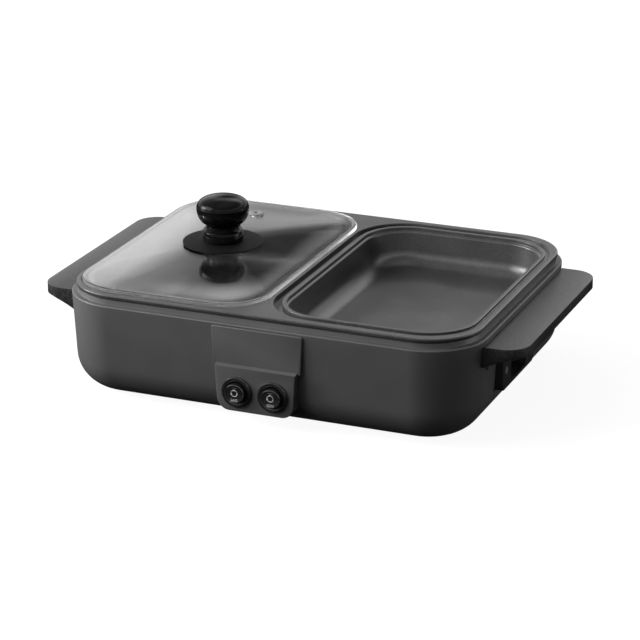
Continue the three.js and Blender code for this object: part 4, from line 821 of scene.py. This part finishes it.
class OBJECT_OT_cooker_lid(bpy.types.Operator):
    """Crowned glass lid with its steam vent grommet"""
    bl_idname = "object.cooker_lid"
    bl_label = "Glass Lid"

    def execute(self, context):
        size = context.scene.cooker_lid
        x = context.scene.cooker_pan.pot_x
        edge = 0.8 * MM
        rings = 27                        # rings of faces that can follow the crown
        low, top = size.underside, size.underside + size.thickness
        glass = rounded_block("lid_pane", size.half_length, size.half_depth, size.corner,
                              low + edge, top - edge, x)
        for way, face, height in ((1, faces_up, top), (-1, faces_down, low)):
            pick("FACE", face)
            start = height - way * edge
            follow([(0, start)] + quarter(0, start, edge, EDGE_FACETS, way))
            for ring in range(rings, 1, -1):
                share = (ring - 1) / ring
                raise_on(0)
                bpy.ops.transform.resize(value=(share, share, 1), center_override=(x, 0, height))
        self.blow(glass, size, x)
        bore_radius, hole_radius = 3.2, 4
        below, above = 70, 110
        vent_x, vent_y = x - 6.75 * MM, size.half_depth - 38.5 * MM
        bore = turned("bore", metres((bore_radius, below), (bore_radius, above)), x, 0, SMALL_SIDES)
        hole = turned("vent", metres((hole_radius, below), (hole_radius, above)), vent_x, vent_y, SMALL_SIDES)
        combine(glass, [bore, hole])
        complete(glass, FINISHES["glass"], "lid", ["lid_glass"], smooth=30)
        self.vent(vent_x, vent_y)
        return {"FINISHED"}

    def vent(self, x, y):
        """The grommet: a sleeve through the glass under a wide low head, with a hole for the steam."""
        low, high = (corner.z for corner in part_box("vent_grommet"))
        head_height = 1.6 * MM
        head = high - head_height
        sleeve = [(1.5, 0), (3.4, 0), (3.7, 0.4)]
        outside = [(3.7, -0.2), (5.8, 0), (6, 0.2), (5.9, 0.6), (5.3, 0.95), (4.4, 1.1), (2.3, 1.1),
                   (1.9, 1), (1.5, 0.6)]
        outline = [(r, low + z) for r, z in metres(*sleeve)] + [(r, head + z) for r, z in metres(*outside)]
        outline += [(r, low + z) for r, z in metres((1.5, 1))]
        grommet = turned("steam_vent", outline, x, y, SMALL_SIDES)
        complete(grommet, FINISHES["vent_silicone"], "lid", ["vent_grommet"])

    def blow(self, glass, size, x):
        """Lifts the flat pane into its smooth crown with a lattice whose edge stays level."""
        take(glass)
        steps = 25                        # points of the lattice each way
        reach = 1.12                      # size of the lattice, as a share of the pane's
        fall = 2.4                        # power by which the crown falls off towards the edge
        roundness = 4                     # power of the rings: 2 is an ellipse, higher is squarer
        tall = 4 * size.thickness
        bpy.ops.object.add(type="LATTICE", location=(x, 0, size.underside + size.thickness / 2))
        cage = bpy.context.object
        cage.data.points_u = cage.data.points_v = steps
        cage.data.points_w = 2
        cage.scale = (2 * reach * size.half_length, 2 * reach * size.half_depth, tall)
        bpy.context.view_layer.update()
        for point in cage.data.points:
            ring = sum((2 * reach * place) ** roundness for place in point.co.xy) ** (1 / roundness)
            point.co_deform.z += size.crown * max(1 - ring ** fall, 0) / tall
        modify(glass, "LATTICE", object=cage)
        clear_away(cage)


class OBJECT_OT_cooker_knob(bpy.types.Operator):
    """Lid knob and the disc under it"""
    bl_idname = "object.cooker_knob"
    bl_label = "Knob"

    def execute(self, context):
        size = context.scene.cooker_lid
        x = context.scene.cooker_pan.pot_x
        low, high = (corner.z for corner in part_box("knob_base_disc"))
        radius = size.disc_radius
        rim = [(-0.5, 0), (0, 0.4), (0, 0.8), (-0.12, 1.0), (-0.5, 1.12)]
        slope = [(radius * 0.8, low + 1.35 * MM), (radius * 0.6, high - 0.2 * MM)]
        middle = [(16.5 * MM, high), (3 * MM, high)]
        outline = [(radius + r, low + z) for r, z in metres(*rim)] + slope + middle
        disc = turned("knob_disc", outline, x, 0)
        complete(disc, FINISHES["disc_plastic"], "lid", ["knob_base_disc"], smooth=20)
        # Radii and heights above the knob's foot in millimetres
        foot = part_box("lid_knob")[0].z
        skirt = [(15.1, 0), (15.5, 0.4), (15.35, 4), (15.25, 7.6), (14.9, 8.1), (13.9, 8.5), (13.35, 9),
                 (13.3, 10.6)]
        body = eased([(13.3, 10.6), (13.35, 12.2), (14.6, 13.6), (16.8, 15.4), (18.8, 18.4),
                      (19.9, 21.8), (20.1, 24.6), (19.95, 26.6)])
        seam = [(19.8, 26.75), (19.75, 26.9)]
        dome = eased([(19.75, 26.9), (19.2, 28.6), (17.8, 30.6), (15.4, 32.2), (11.6, 33.5),
                      (6.3, 34.4), (0.4, 34.7)])
        outline = skirt + body[1:] + seam + dome[1:]
        knob = turned("knob_grip", [(r * MM, foot + z * MM) for r, z in outline], x, 0)
        complete(knob, FINISHES["knob_plastic"], "lid", ["lid_knob"], smooth=38)
        return {"FINISHED"}


PANEL_BACK = -106 * MM            # where the panel ends inside the housing's wall


class OBJECT_OT_cooker_panel(bpy.types.Operator):
    """Control panel: upper plate and the lower block with its sloping top"""
    bl_idname = "object.cooker_panel"
    bl_label = "Control Panel"

    def execute(self, context):
        size = context.scene.cooker_panel
        lower = self.lower_block(size)
        combine(lower, [self.upper_plate(size)], "UNION")
        bores = [self.switch_bore(size, side) for side in (-1, 1)]
        half, front, back = 27 * MM, -130.3 * MM, -90 * MM
        low, high = 16 * MM, 42.5 * MM
        hollow = block("hollow", (size.middle - half, front, low), (size.middle + half, back, high))
        combine(lower, [hollow, *bores, wall_seat(PAST_LEDGE)])
        complete(lower, FINISHES["housing_plastic"], "base", ["control_panel"])
        return {"FINISHED"}

    def lower_block(self, size):
        """The block that carries the switches: its top slopes back and its lower corners are rounded."""
        low, crease, top = 12.3 * MM, 45.9 * MM, 47 * MM
        taper, corner, edge = 2 * MM, 9 * MM, 0.8 * MM
        x, front = size.middle, -size.block_front
        lower = block("control_panel_face", (x - size.block_half, front, low),
                      (x + size.block_half, PANEL_BACK, top))
        pick_all()
        bpy.ops.mesh.bisect(plane_co=(0, 0, crease), plane_no=(0, 0, 1), threshold=TINY)
        pick("VERT", lambda place, normal: place.z > top - TINY and place.y < front + TINY)
        move(0, size.block_front - size.plate_front, 0)
        for side in (-1, 1):
            pick("VERT", lambda place, normal: place.z < low + TINY and (place.x - x) * side > 0)
            move(-side * taper, 0, 0)
        pick("EDGE", lambda place, along: abs(along.y) > ALONG and place.z < low + TINY)
        round_off(corner, facets=8)
        pick("EDGE", lambda place, along: place.y < -size.plate_front + TINY and abs(along.y) < ALONG
             and abs(place.z - crease) > TINY)
        round_off(edge, facets=3)
        return lower

    def upper_plate(self, size):
        """The plate above the block, a little narrower at its foot."""
        low, top = 45 * MM, 74.6 * MM
        taper, corner, edge = 1.3 * MM, 1.6 * MM, 0.6 * MM
        x, half, front = size.middle, size.plate_half, -size.plate_front
        upper = block("upper", (x - half, front, low), (x + half, PANEL_BACK, top))
        for side in (-1, 1):
            pick("VERT", lambda place, normal: place.z < low + TINY and (place.x - x) * side > 0)
            move(-side * taper, 0, 0)
        pick("EDGE", lambda place, along: abs(along.y) > ALONG and place.z > top - TINY)
        round_off(corner, facets=4)
        pick("EDGE", lambda place, along: place.y < front + TINY)
        round_off(edge, facets=3)
        return upper

    def switch_bore(self, size, side):
        """A rod along Y through the panel at a switch's place."""
        inside, outside = 80 * MM, 145 * MM
        place = (size.middle + side * size.switch_pitch / 2, 0, size.switch_height)
        return rod("bore", [(SWITCH_BORE, inside), (SWITCH_BORE, outside)], TO_FRONT, place, SMALL_SIDES * 2)


# A rocker's face in millimetres: its distance from the middle, and the depth and half height of its hollow
ROCKER_FACE, HOLLOW_DEPTH, HOLLOW_REACH = 138, 0.75, 6.4


def hollow_depth(height):
    """Depth of a rocker's hollow face at a height from its axis, all in millimetres."""
    return HOLLOW_DEPTH * (1 - (height / HOLLOW_REACH) ** 2)


class OBJECT_OT_cooker_switches(bpy.types.Operator):
    """Two round switches: bezel with its well, rocker and printed marks"""
    bl_idname = "object.cooker_switches"
    bl_label = "Switches"

    def execute(self, context):
        size = context.scene.cooker_panel
        # Radii, and distances of the faces from the middle of the cooker, in millimetres
        face = 134.8
        r = size.bezel_radius / MM
        outline = metres((9.8, 117.8), (9.8, 132.7), (9.9, 133.0), (r - 0.3, 133.0), (r, 133.2), (r, 133.9),
                     (r - 0.1, 134.3), (r - 0.35, 134.65), (r - 0.8, face), (9.3, face - 0.1),
                     (8.7, face - 0.35), (8.3, face - 0.8), (8.1, face - 1.5), (8.1, 125.8))
        bezel = rod("switch_bezel", outline, TO_FRONT, sides=ROUND_SIDES)
        rocker = self.rocker()
        marks = self.marks()
        for side, word in ((-1, "left"), (1, "right")):
            place = (size.middle + side * size.switch_pitch / 2, 0, size.switch_height)
            for model, name, finish, body, slot, nodes in (
                    (bezel, "bezel", "switch_plastic", "base", "switch_plastic", [f"{word}_switch_body"]),
                    (rocker, "rocker_cap", "switch_plastic", f"{word}_rocker", "switch_plastic",
                     [f"{word}_rocker"]),
                    (marks, "rocker_marks", "marks", f"{word}_rocker", None, [])):
                copy = copy_of(model, f"{word}_{name}", place)
                complete(copy, FINISHES[finish], body, nodes, smooth=30)
        clear_away(bezel, rocker, marks)
        return {"FINISHED"}

    def rocker(self):
        """Rocker round the middle of the frame: rounded edge and a face hollowed from top to bottom."""
        half_width, half_height = 7.6, 7.1
        outline = metres((7.2, 131.4), (7.5, 131.7), (half_width, 132.2), (half_width, 137.2), (7.5, 137.6),
                     (7.25, 137.9), (6.9, ROCKER_FACE))
        piece = rod("rocker", outline, TO_FRONT, sides=ROUND_SIDES)
        take(piece, "EDIT")
        pick_all()
        bpy.ops.transform.resize(value=(1, 1, half_height / half_width), center_override=(0, 0, 0))
        line_spacing, lines = 0.8, range(-7, 8)
        for k in lines:
            pick("FACE", lambda place, normal: normal.y < -LEVEL)
            bpy.ops.mesh.bisect(plane_co=(0, 0, k * line_spacing * MM), plane_no=(0, 0, 1), threshold=TINY)
        for k in lines:
            height = k * line_spacing
            pick("VERT", lambda place, normal: abs(place.z - height * MM) < 5 * TINY
                 and place.y < (0.1 - ROCKER_FACE) * MM)
            move(0, max(hollow_depth(height), 0) * MM, 0)
        return piece

    def marks(self):
        """One bar, a ring and two bars, thin forms that lie in the rocker's hollow face."""
        sunk, proud = 0.15, 0.2
        forms = []
        for height, half, tall in ((4.6, 2.1, 0.3), (-3.75, 2.7, 0.46), (-5.15, 2.7, 0.46)):
            face = hollow_depth(height) - ROCKER_FACE
            bar = block("bar", (-half * MM, (face - sunk) * MM, (height - tall) * MM),
                        (half * MM, (face + proud) * MM, (height + tall) * MM))
            forms.append(bar)
        let_go()
        radius, line, middle, distance = 2.35, 0.6, 0.5, 137.15
        bpy.ops.mesh.primitive_torus_add(major_radius=radius * MM, minor_radius=line * MM,
                                         major_segments=48, minor_segments=8, rotation=TO_FRONT,
                                         location=(0, -distance * MM, middle * MM))
        ring = placed("ring")
        slice_height = 0.7
        for k in range(-4, 5):
            height = middle + slice_height * k
            pick("VERT", lambda place, normal: abs(place.z - height * MM) <= slice_height / 2 * MM + TINY)
            move(0, (hollow_depth(height) - HOLLOW_DEPTH) * MM, 0)
        forms.append(ring)
        return joined(forms)


class OBJECT_OT_cooker_handles(bpy.types.Operator):
    """Two shelf handles with a coved underside"""
    bl_idname = "object.cooker_handles"
    bl_label = "Handles"

    def execute(self, context):
        size = context.scene.cooker_handles
        for side, word in ((1, "right"), (-1, "left")):
            piece = self.shelf(size)
            piece.name = piece.data.name = f"{word}_shelf"
            if side < 0:
                take(piece, "EDIT")
                pick_all()
                bpy.ops.transform.mirror(constraint_axis=(True, False, False), center_override=(0, 0, 0))
            complete(piece, FINISHES["handle_plastic"], "base", [f"{word}_handle"])
        return {"FINISHED"}

    def shelf(self, size):
        """The right handle: a block whose outer corners are rounded and whose underside is coved."""
        top, low = size.top, size.top - size.root_thickness
        root = 139 * MM
        cove_start, cove_end = 161.5 * MM, 181.5 * MM
        cove_power = 1.5                  # 1 is a straight slope, higher is a stronger hollow
        facets, lines = 12, 5
        piece = block("shelf", (root, -size.half_depth, low), (size.reach, size.half_depth, top))
        pick("EDGE", lambda place, along: abs(along.z) > ALONG and place.x > size.reach - TINY)
        round_off(size.corner, facets)
        bend = size.reach - size.corner
        places = [cove_start + (bend - cove_start) * k / lines for k in range(lines)]
        places += [size.reach - size.corner * (1 - math.sin(math.pi / 2 * k / facets)) for k in range(facets)]
        for line_x in places:
            pick_all()
            bpy.ops.mesh.bisect(plane_co=(line_x, 0, 0), plane_no=(1, 0, 0), threshold=TINY)
        full = size.root_thickness - size.edge_thickness
        for line_x in places[1:] + [size.reach]:
            share = min((line_x - cove_start) / (cove_end - cove_start), 1)
            pick("VERT", lambda place, normal: abs(place.x - line_x) < 3 * TINY and place.z < low + TINY)
            move(0, 0, full * (1 - (1 - share) ** cove_power))
        edge, edge_facets, sharp_angle = 1.4 * MM, 4, 50
        break_edges(piece, edge, edge_facets, sharp_angle)
        combine(piece, [wall_seat(PAST_LEDGE)])
        bore_radius, bore_start, bore_end, bore_y = 2.1, 130, 172.8, 55
        bores = [rod("bore", metres((bore_radius, bore_start), (bore_radius, bore_end)), TO_RIGHT,
                     (0, y * MM, top - size.root_thickness / 2)) for y in (-bore_y, bore_y)]
        return combine(piece, bores)


class OBJECT_OT_cooker_inlet(bpy.types.Operator):
    """Inlet socket under the right handle, with its three pins"""
    bl_idname = "object.cooker_inlet"
    bl_label = "Inlet Socket"

    def execute(self, context):
        back, face, half = 136 * MM, 165.5 * MM, 35 * MM
        low, high = 27 * MM, 56 * MM
        flange_corner, face_edge, inner_corner = 3 * MM, 0.9 * MM, 2 * MM
        flange = self.sheath("inlet_flange", back, face, half, low, high, flange_corner, facets=6)
        pick("EDGE", lambda place, along: place.x > face - TINY)
        round_off(face_edge, facets=3)
        combine(flange, [wall_seat()])
        shell_face, wall, back_wall, outside = 162 * MM, 2 * MM, 2.5 * MM, 180 * MM
        shell = self.sheath("shell", INLET_BACK, shell_face, INLET_HALF, INLET_LOW, INLET_HIGH,
                            inner_corner, facets=4)
        combine(flange, [shell], "UNION")
        recess = self.sheath("recess", INLET_BACK + back_wall, outside, INLET_HALF - wall,
                             INLET_LOW + wall, INLET_HIGH - wall, inner_corner, facets=5)
        screw, head, head_seat = 1.8, 3.3, 164.2
        screw_distance, screw_height = 27 * MM, 41 * MM
        outline = metres((screw, 130), (screw, head_seat), (head, head_seat + 0.01), (head, 170))
        bores = [rod("screw_bore", outline, TO_RIGHT, (0, INLET_Y + side * screw_distance, screw_height))
                 for side in (-1, 1)]
        combine(flange, [recess, *bores])
        complete(flange, FINISHES["black_plastic"], "base", ["inlet_socket"])
        contact = metres((2, 139), (2, 159), (1.95, 159.6), (1.75, 160.2), (1.4, 160.65), (0.9, 160.9),
                     (0.3, 161))
        for word, y, z in (("line", -32, 37.5), ("neutral", -18, 37.5), ("earth", -25, 48)):
            pin = rod(f"{word}_contact", contact, TO_RIGHT, (0, y * MM, z * MM))
            complete(pin, FINISHES["brass"], "base", [f"inlet_{word}_pin"])
        return {"FINISHED"}

    def sheath(self, name, back, face, half, low, high, corner, facets):
        """A block along X round the inlet's middle, with rounded long edges."""
        piece = block(name, (back, INLET_Y - half, low), (face, INLET_Y + half, high))
        pick("EDGE", lambda place, along: abs(along.x) > ALONG)
        round_off(corner, facets)
        return piece


class OBJECT_OT_cooker_underside(bpy.types.Operator):
    """Base cover with vent slots, and the four rubber feet"""
    bl_idname = "object.cooker_underside"
    bl_label = "Underside"

    def execute(self, context):
        low, edge = 2 * MM, 0.3 * MM
        cover = rounded_block("base_plate", *COVER_PLAN, low + edge, COVER_TOP - edge)
        pick("FACE", faces_down)
        follow([(0, low + edge), (edge, low)])
        pick("FACE", faces_up)
        follow([(0, COVER_TOP - edge), (edge, COVER_TOP)])
        # Places of the heat shield's posts and of the tie bolts, in millimetres
        shield_posts = ((-70, -50), (70, -50), (-70, 50), (70, 50))
        tie_posts = ((-3.6, -60), (-3.6, 60))
        slots = self.slots()
        posts = self.rounds("post", ((5, 3), (5, 13.3), (4.6, 13.7)), shield_posts)
        posts += self.rounds("post", ((6.5, 3), (6.5, 7.4), (6.2, 7.7)), tie_posts)
        combine(cover, posts, "UNION")
        bores = [joined(slots)]
        bores += self.rounds("bore", ((4.3, -2), (4.3, 4.7), (2.3, 4.71), (2.3, 12)), tie_posts)
        bores += self.rounds("bore", ((1.8, 7.9), (1.8, 18)), shield_posts)
        # The screws stand on the diagonals of the opening's corners, outside its edge
        half_x, half_y, corner = (value / MM for value in OPENING_PLAN)
        outside = 5.15
        diagonal = (corner + outside) * math.sqrt(0.5) - corner
        screws = [(side_x * (half_x + diagonal), side_y * (half_y + diagonal))
                  for side_x in (-1, 1) for side_y in (-1, 1)]
        bores += self.rounds("bore", ((3.3, -2), (3.3, 3.3), (1.8, 3.31), (1.8, 12)), screws)
        combine(cover, bores)
        complete(cover, FINISHES["black_plastic"], "base", ["base_cover"])
        self.feet(context.scene.cooker_housing)
        return {"FINISHED"}

    def slots(self):
        """Two rows of vent slots."""
        half_width, half_length, corner = 1.6 * MM, 17 * MM, 1.59 * MM
        pitch, row_distance, in_row = 9 * MM, 22 * MM, 8
        below, above = -2 * MM, 8 * MM
        return [rounded_block("slot", half_width, half_length, corner, below, above,
                              (k - (in_row - 1) / 2) * pitch, row * row_distance, facets=4)
                for row in (-1, 1) for k in range(in_row)]

    def rounds(self, name, outline, places):
        """Like round pieces at several places, all in millimetres."""
        return [turned(name, metres(*outline), x * MM, y * MM, SMALL_SIDES) for x, y in places]

    def feet(self, size):
        """The rubber feet, modelled once and copied to the four corners."""
        foot = turned("rubber_foot", metres(
            (5.4, 0), (5.9, 0.15), (6.2, 0.5), (6.9, 1.2), (7, 1.45), (6.8, 1.7), (2.5, 1.7), (2.5, 4.9),
            (3.3, 4.95), (3.1, 5.4), (2.2, 6.2)), sides=SMALL_SIDES)
        setback = 39.25 * MM
        for word_y, side_y in (("front", -1), ("back", 1)):
            for word_x, side_x in (("left", -1), ("right", 1)):
                place = (side_x * (size.half_length - setback), side_y * (size.half_depth - setback), 0)
                copy = copy_of(foot, f"rubber_foot_{word_y}_{word_x}", place)
                complete(copy, FINISHES["rubber"], "base", [f"foot_{word_y}_{word_x}"])
        clear_away(foot)


class OBJECT_OT_cooker_inner_finishes(bpy.types.Operator):
    """Finishes of the screws, heaters, leads and other solids that keep their own shape"""
    bl_idname = "object.cooker_inner_finishes"
    bl_label = "Inner Finishes"

    def execute(self, context):
        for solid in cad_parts.values():
            for place in solid.material_slots:
                place.material = FINISHES[place.material.name.split(".")[0]]
        return {"FINISHED"}


# Studio

# Lamps: name, place and aim in millimetres, size in millimetres, power in watts
LAMPS = (
    ("left_front_softbox", (-1370, -940, 1130), (0, 0, 40), 1200, 1000, 37),
    ("left_softbox", (-1630, -410, 630), (0, 0, 40), 700, 700, 36),
    ("right_softbox", (1520, 500, 125), (0, 0, 40), 900, 200, 5),
)

# The room as shiny surfaces see it, in three zones that overlap: all but the left, the left, and the
# right. Each has grey levels by the sine of the elevation, and how it fades in or out along X.
ZONES = (
    (((0.0, 0.1), (1.0, 0.5), (0.8, 0.3), (0.15, 0.4), (0.21, 0.75), (0.265, 0.7), (0.3, 0.12),
      (0.344, 0.02), (0.41, 0.04), (0.44, 0.25), (0.49, 1.5), (0.55, 2.2), (0.61, 1.1), (0.7, 0.3)),
     between(-0.46, -0.38, 0.0, 1.0)),
    (((0.0, 0.3), (1.0, 0.9), (0.8, 0.5), (0.12, 1.3), (0.2, 1.6), (0.4, 1.6), (0.5, 0.7)),
     between(-0.46, -0.38, 1.0, 0.0)),
    (((0.0, 0.2), (1.0, 0.9), (0.8, 0.4), (0.12, 1.1), (0.44, 1.1), (0.5, 1.6), (0.6, 1.6), (0.7, 0.3)),
     between(-0.3, -0.2, 0.0, 1.0)),
)

# Soft light that matt surfaces get from all round, and what is added towards the left
FILL_LEVEL = 0.15
FILL_LEFT = 3.0

# The photo's view: the camera's angles round and above the part, its distance and aim, and its lens
VIEW_AZIMUTH = math.radians(22.16)
VIEW_ELEVATION = math.radians(20.13)
VIEW_DISTANCE = 1.9997
VIEW_AIM = Vector((-0.00068, MIDDLE_Y, 0.03875))
VIEW_LENS, VIEW_SENSOR = 148.46, 36


class OBJECT_OT_cooker_stage(bpy.types.Operator):
    """Pale floor, soft lamps, world and camera"""
    bl_idname = "object.cooker_stage"
    bl_label = "Stage"

    def execute(self, context):
        self.floor()
        for name, place, aim, size_x, size_y, watts in LAMPS:
            self.lamp(name, Vector(place), Vector(aim), size_x, size_y, watts)
        context.scene.world = self.world()
        self.camera(context.scene)
        context.scene.view_settings.view_transform = "Standard"
        return {"FINISHED"}

    def floor(self):
        """Painted studio floor: the camera sees it white, and all else sees it dark and is not lit by it."""
        let_go()
        width, speck_size = 12, 25 * MM
        bpy.ops.mesh.primitive_plane_add(size=width, location=(0, 0, 0))
        floor = bpy.context.object
        floor.name = floor.data.name = "floor"
        finish, tree, here = new_finish("painted_studio_floor")
        speck = add_node(tree, "TexNoise", {"Scale": 1 / speck_size}, {"Vector": here})
        paint = add_node(tree, "ValToRGB", {}, {0: speck.outputs[0]},
                         ((0.0, linear("#5c5c5c")), (1.0, linear("#626262"))))
        matt = add_node(tree, "BsdfDiffuse", {}, {"Color": paint.outputs[0]})
        dim = add_node(tree, "BsdfDiffuse", {"Color": linear("#151515")})
        path = add_node(tree, "LightPath")
        glow = add_node(tree, "Emission", {"Strength": 0.93})
        both = add_node(tree, "AddShader", {}, {0: matt.outputs[0], 1: glow.outputs[0]})
        seen = add_node(tree, "MixShader", {}, {0: path.outputs["Is Camera Ray"], 1: dim.outputs[0],
                                                2: both.outputs[0]})
        add_node(tree, "OutputMaterial", {}, {"Surface": seen.outputs[0]})
        floor.data.materials.append(finish)

    def lamp(self, name, place, aim, size_x, size_y, watts):
        """An oblong soft lamp that points at its aim."""
        bpy.ops.object.light_add(type="AREA", location=place * MM)
        lamp = bpy.context.object
        lamp.name = lamp.data.name = name
        lamp.data.shape = "RECTANGLE"
        lamp.data.size = size_x * MM
        lamp.data.size_y = size_y * MM
        lamp.data.energy = watts
        lamp.rotation_euler = (aim - place).to_track_quat("-Z", "Y").to_euler()

    def world(self):
        """A room that the camera sees white, shiny surfaces in zones, and matt ones as soft light."""
        world = bpy.data.worlds.new("studio")
        world.use_nodes = True
        tree = world.node_tree
        tree.nodes.clear()
        way = add_node(tree, "TexCoord").outputs["Generated"]
        parts = add_node(tree, "SeparateXYZ", {}, {0: way}).outputs
        shine = None
        for levels, side in ZONES:
            stops = [(place, (level, level, level, 1.0)) for place, level in levels]
            band = add_node(tree, "ValToRGB", {}, {0: parts["Z"]}, stops)
            share = add_node(tree, "MapRange", side, {"Value": parts["X"]})
            lit = add_node(tree, "Background", {}, {"Color": band.outputs[0], "Strength": share.outputs[0]})
            if shine:
                lit = add_node(tree, "AddShader", {}, {0: shine.outputs[0], 1: lit.outputs[0]})
            shine = lit
        level = add_node(tree, "MapRange", between(0.0, -1.0, FILL_LEVEL, FILL_LEVEL + FILL_LEFT),
                         {"Value": parts["X"]})
        fill = add_node(tree, "Background", {"Color": (1, 1, 1, 1)}, {"Strength": level.outputs[0]})
        plain = add_node(tree, "Background", {"Color": (1, 1, 1, 1), "Strength": 1.0})
        path = add_node(tree, "LightPath")
        gloss = add_node(tree, "Math", {"operation": "MAXIMUM"},
                         {0: path.outputs["Is Glossy Ray"], 1: path.outputs["Is Transmission Ray"]})
        seen = add_node(tree, "MixShader", {}, {0: gloss.outputs[0], 1: fill.outputs[0], 2: shine.outputs[0]})
        shown = add_node(tree, "MixShader", {}, {0: path.outputs["Is Camera Ray"], 1: seen.outputs[0],
                                                 2: plain.outputs[0]})
        add_node(tree, "OutputWorld", {}, {"Surface": shown.outputs[0]})
        return world

    def camera(self, scene):
        """The camera at the photo's view."""
        away = Vector((math.sin(VIEW_AZIMUTH) * math.cos(VIEW_ELEVATION),
                       -math.cos(VIEW_AZIMUTH) * math.cos(VIEW_ELEVATION), math.sin(VIEW_ELEVATION)))
        bpy.ops.object.camera_add(location=VIEW_AIM + away * VIEW_DISTANCE)
        camera = bpy.context.object
        camera.rotation_euler = (-away).to_track_quat("-Z", "Y").to_euler()
        camera.data.lens = VIEW_LENS
        camera.data.sensor_width = VIEW_SENSOR
        scene.camera = camera


# Sidebar panel and registration


class VIEW3D_PT_cooker(bpy.types.Panel):
    """Lists the cooker's pieces, sizes and colours in the 3D view's sidebar"""
    bl_label = "Hot Pot and Grill Combo"
    bl_idname = "VIEW3D_PT_cooker"
    bl_space_type = "VIEW_3D"
    bl_region_type = "UI"
    bl_category = "Cooker"

    def draw(self, context):
        for group in GROUPS:
            box = self.layout.box()
            values = getattr(context.scene, group)
            for name in GROUPS[group].__annotations__:
                box.prop(values, name)
        for operator in OPERATORS:
            self.layout.operator(operator.bl_idname)


GROUPS = {
    "cooker_housing": HousingSizes,
    "cooker_pan": PanSizes,
    "cooker_lid": LidSizes,
    "cooker_panel": PanelSizes,
    "cooker_handles": HandleSizes,
    "cooker_finish": CookerFinish,
}
OPERATORS = (
    OBJECT_OT_cooker_stage, OBJECT_OT_cooker_housing, OBJECT_OT_cooker_pan, OBJECT_OT_cooker_lid,
    OBJECT_OT_cooker_knob, OBJECT_OT_cooker_panel, OBJECT_OT_cooker_switches, OBJECT_OT_cooker_handles,
    OBJECT_OT_cooker_inlet, OBJECT_OT_cooker_underside, OBJECT_OT_cooker_inner_finishes,
)


def register():
    for name, group in GROUPS.items():
        bpy.utils.register_class(group)
        setattr(bpy.types.Scene, name, PointerProperty(type=group))
    for operator in OPERATORS:
        bpy.utils.register_class(operator)
    bpy.utils.register_class(VIEW3D_PT_cooker)


def unregister():
    bpy.utils.unregister_class(VIEW3D_PT_cooker)
    for operator in reversed(OPERATORS):
        bpy.utils.unregister_class(operator)
    for name, group in reversed(GROUPS.items()):
        delattr(bpy.types.Scene, name)
        bpy.utils.unregister_class(group)


def main():
    """Builds every piece."""
    register()
    FINISHES.update(make_finishes())
    for operator in OPERATORS:
        kind, name = operator.bl_idname.split(".")
        getattr(getattr(bpy.ops, kind), name)()


if __name__ == "__main__":
    main()
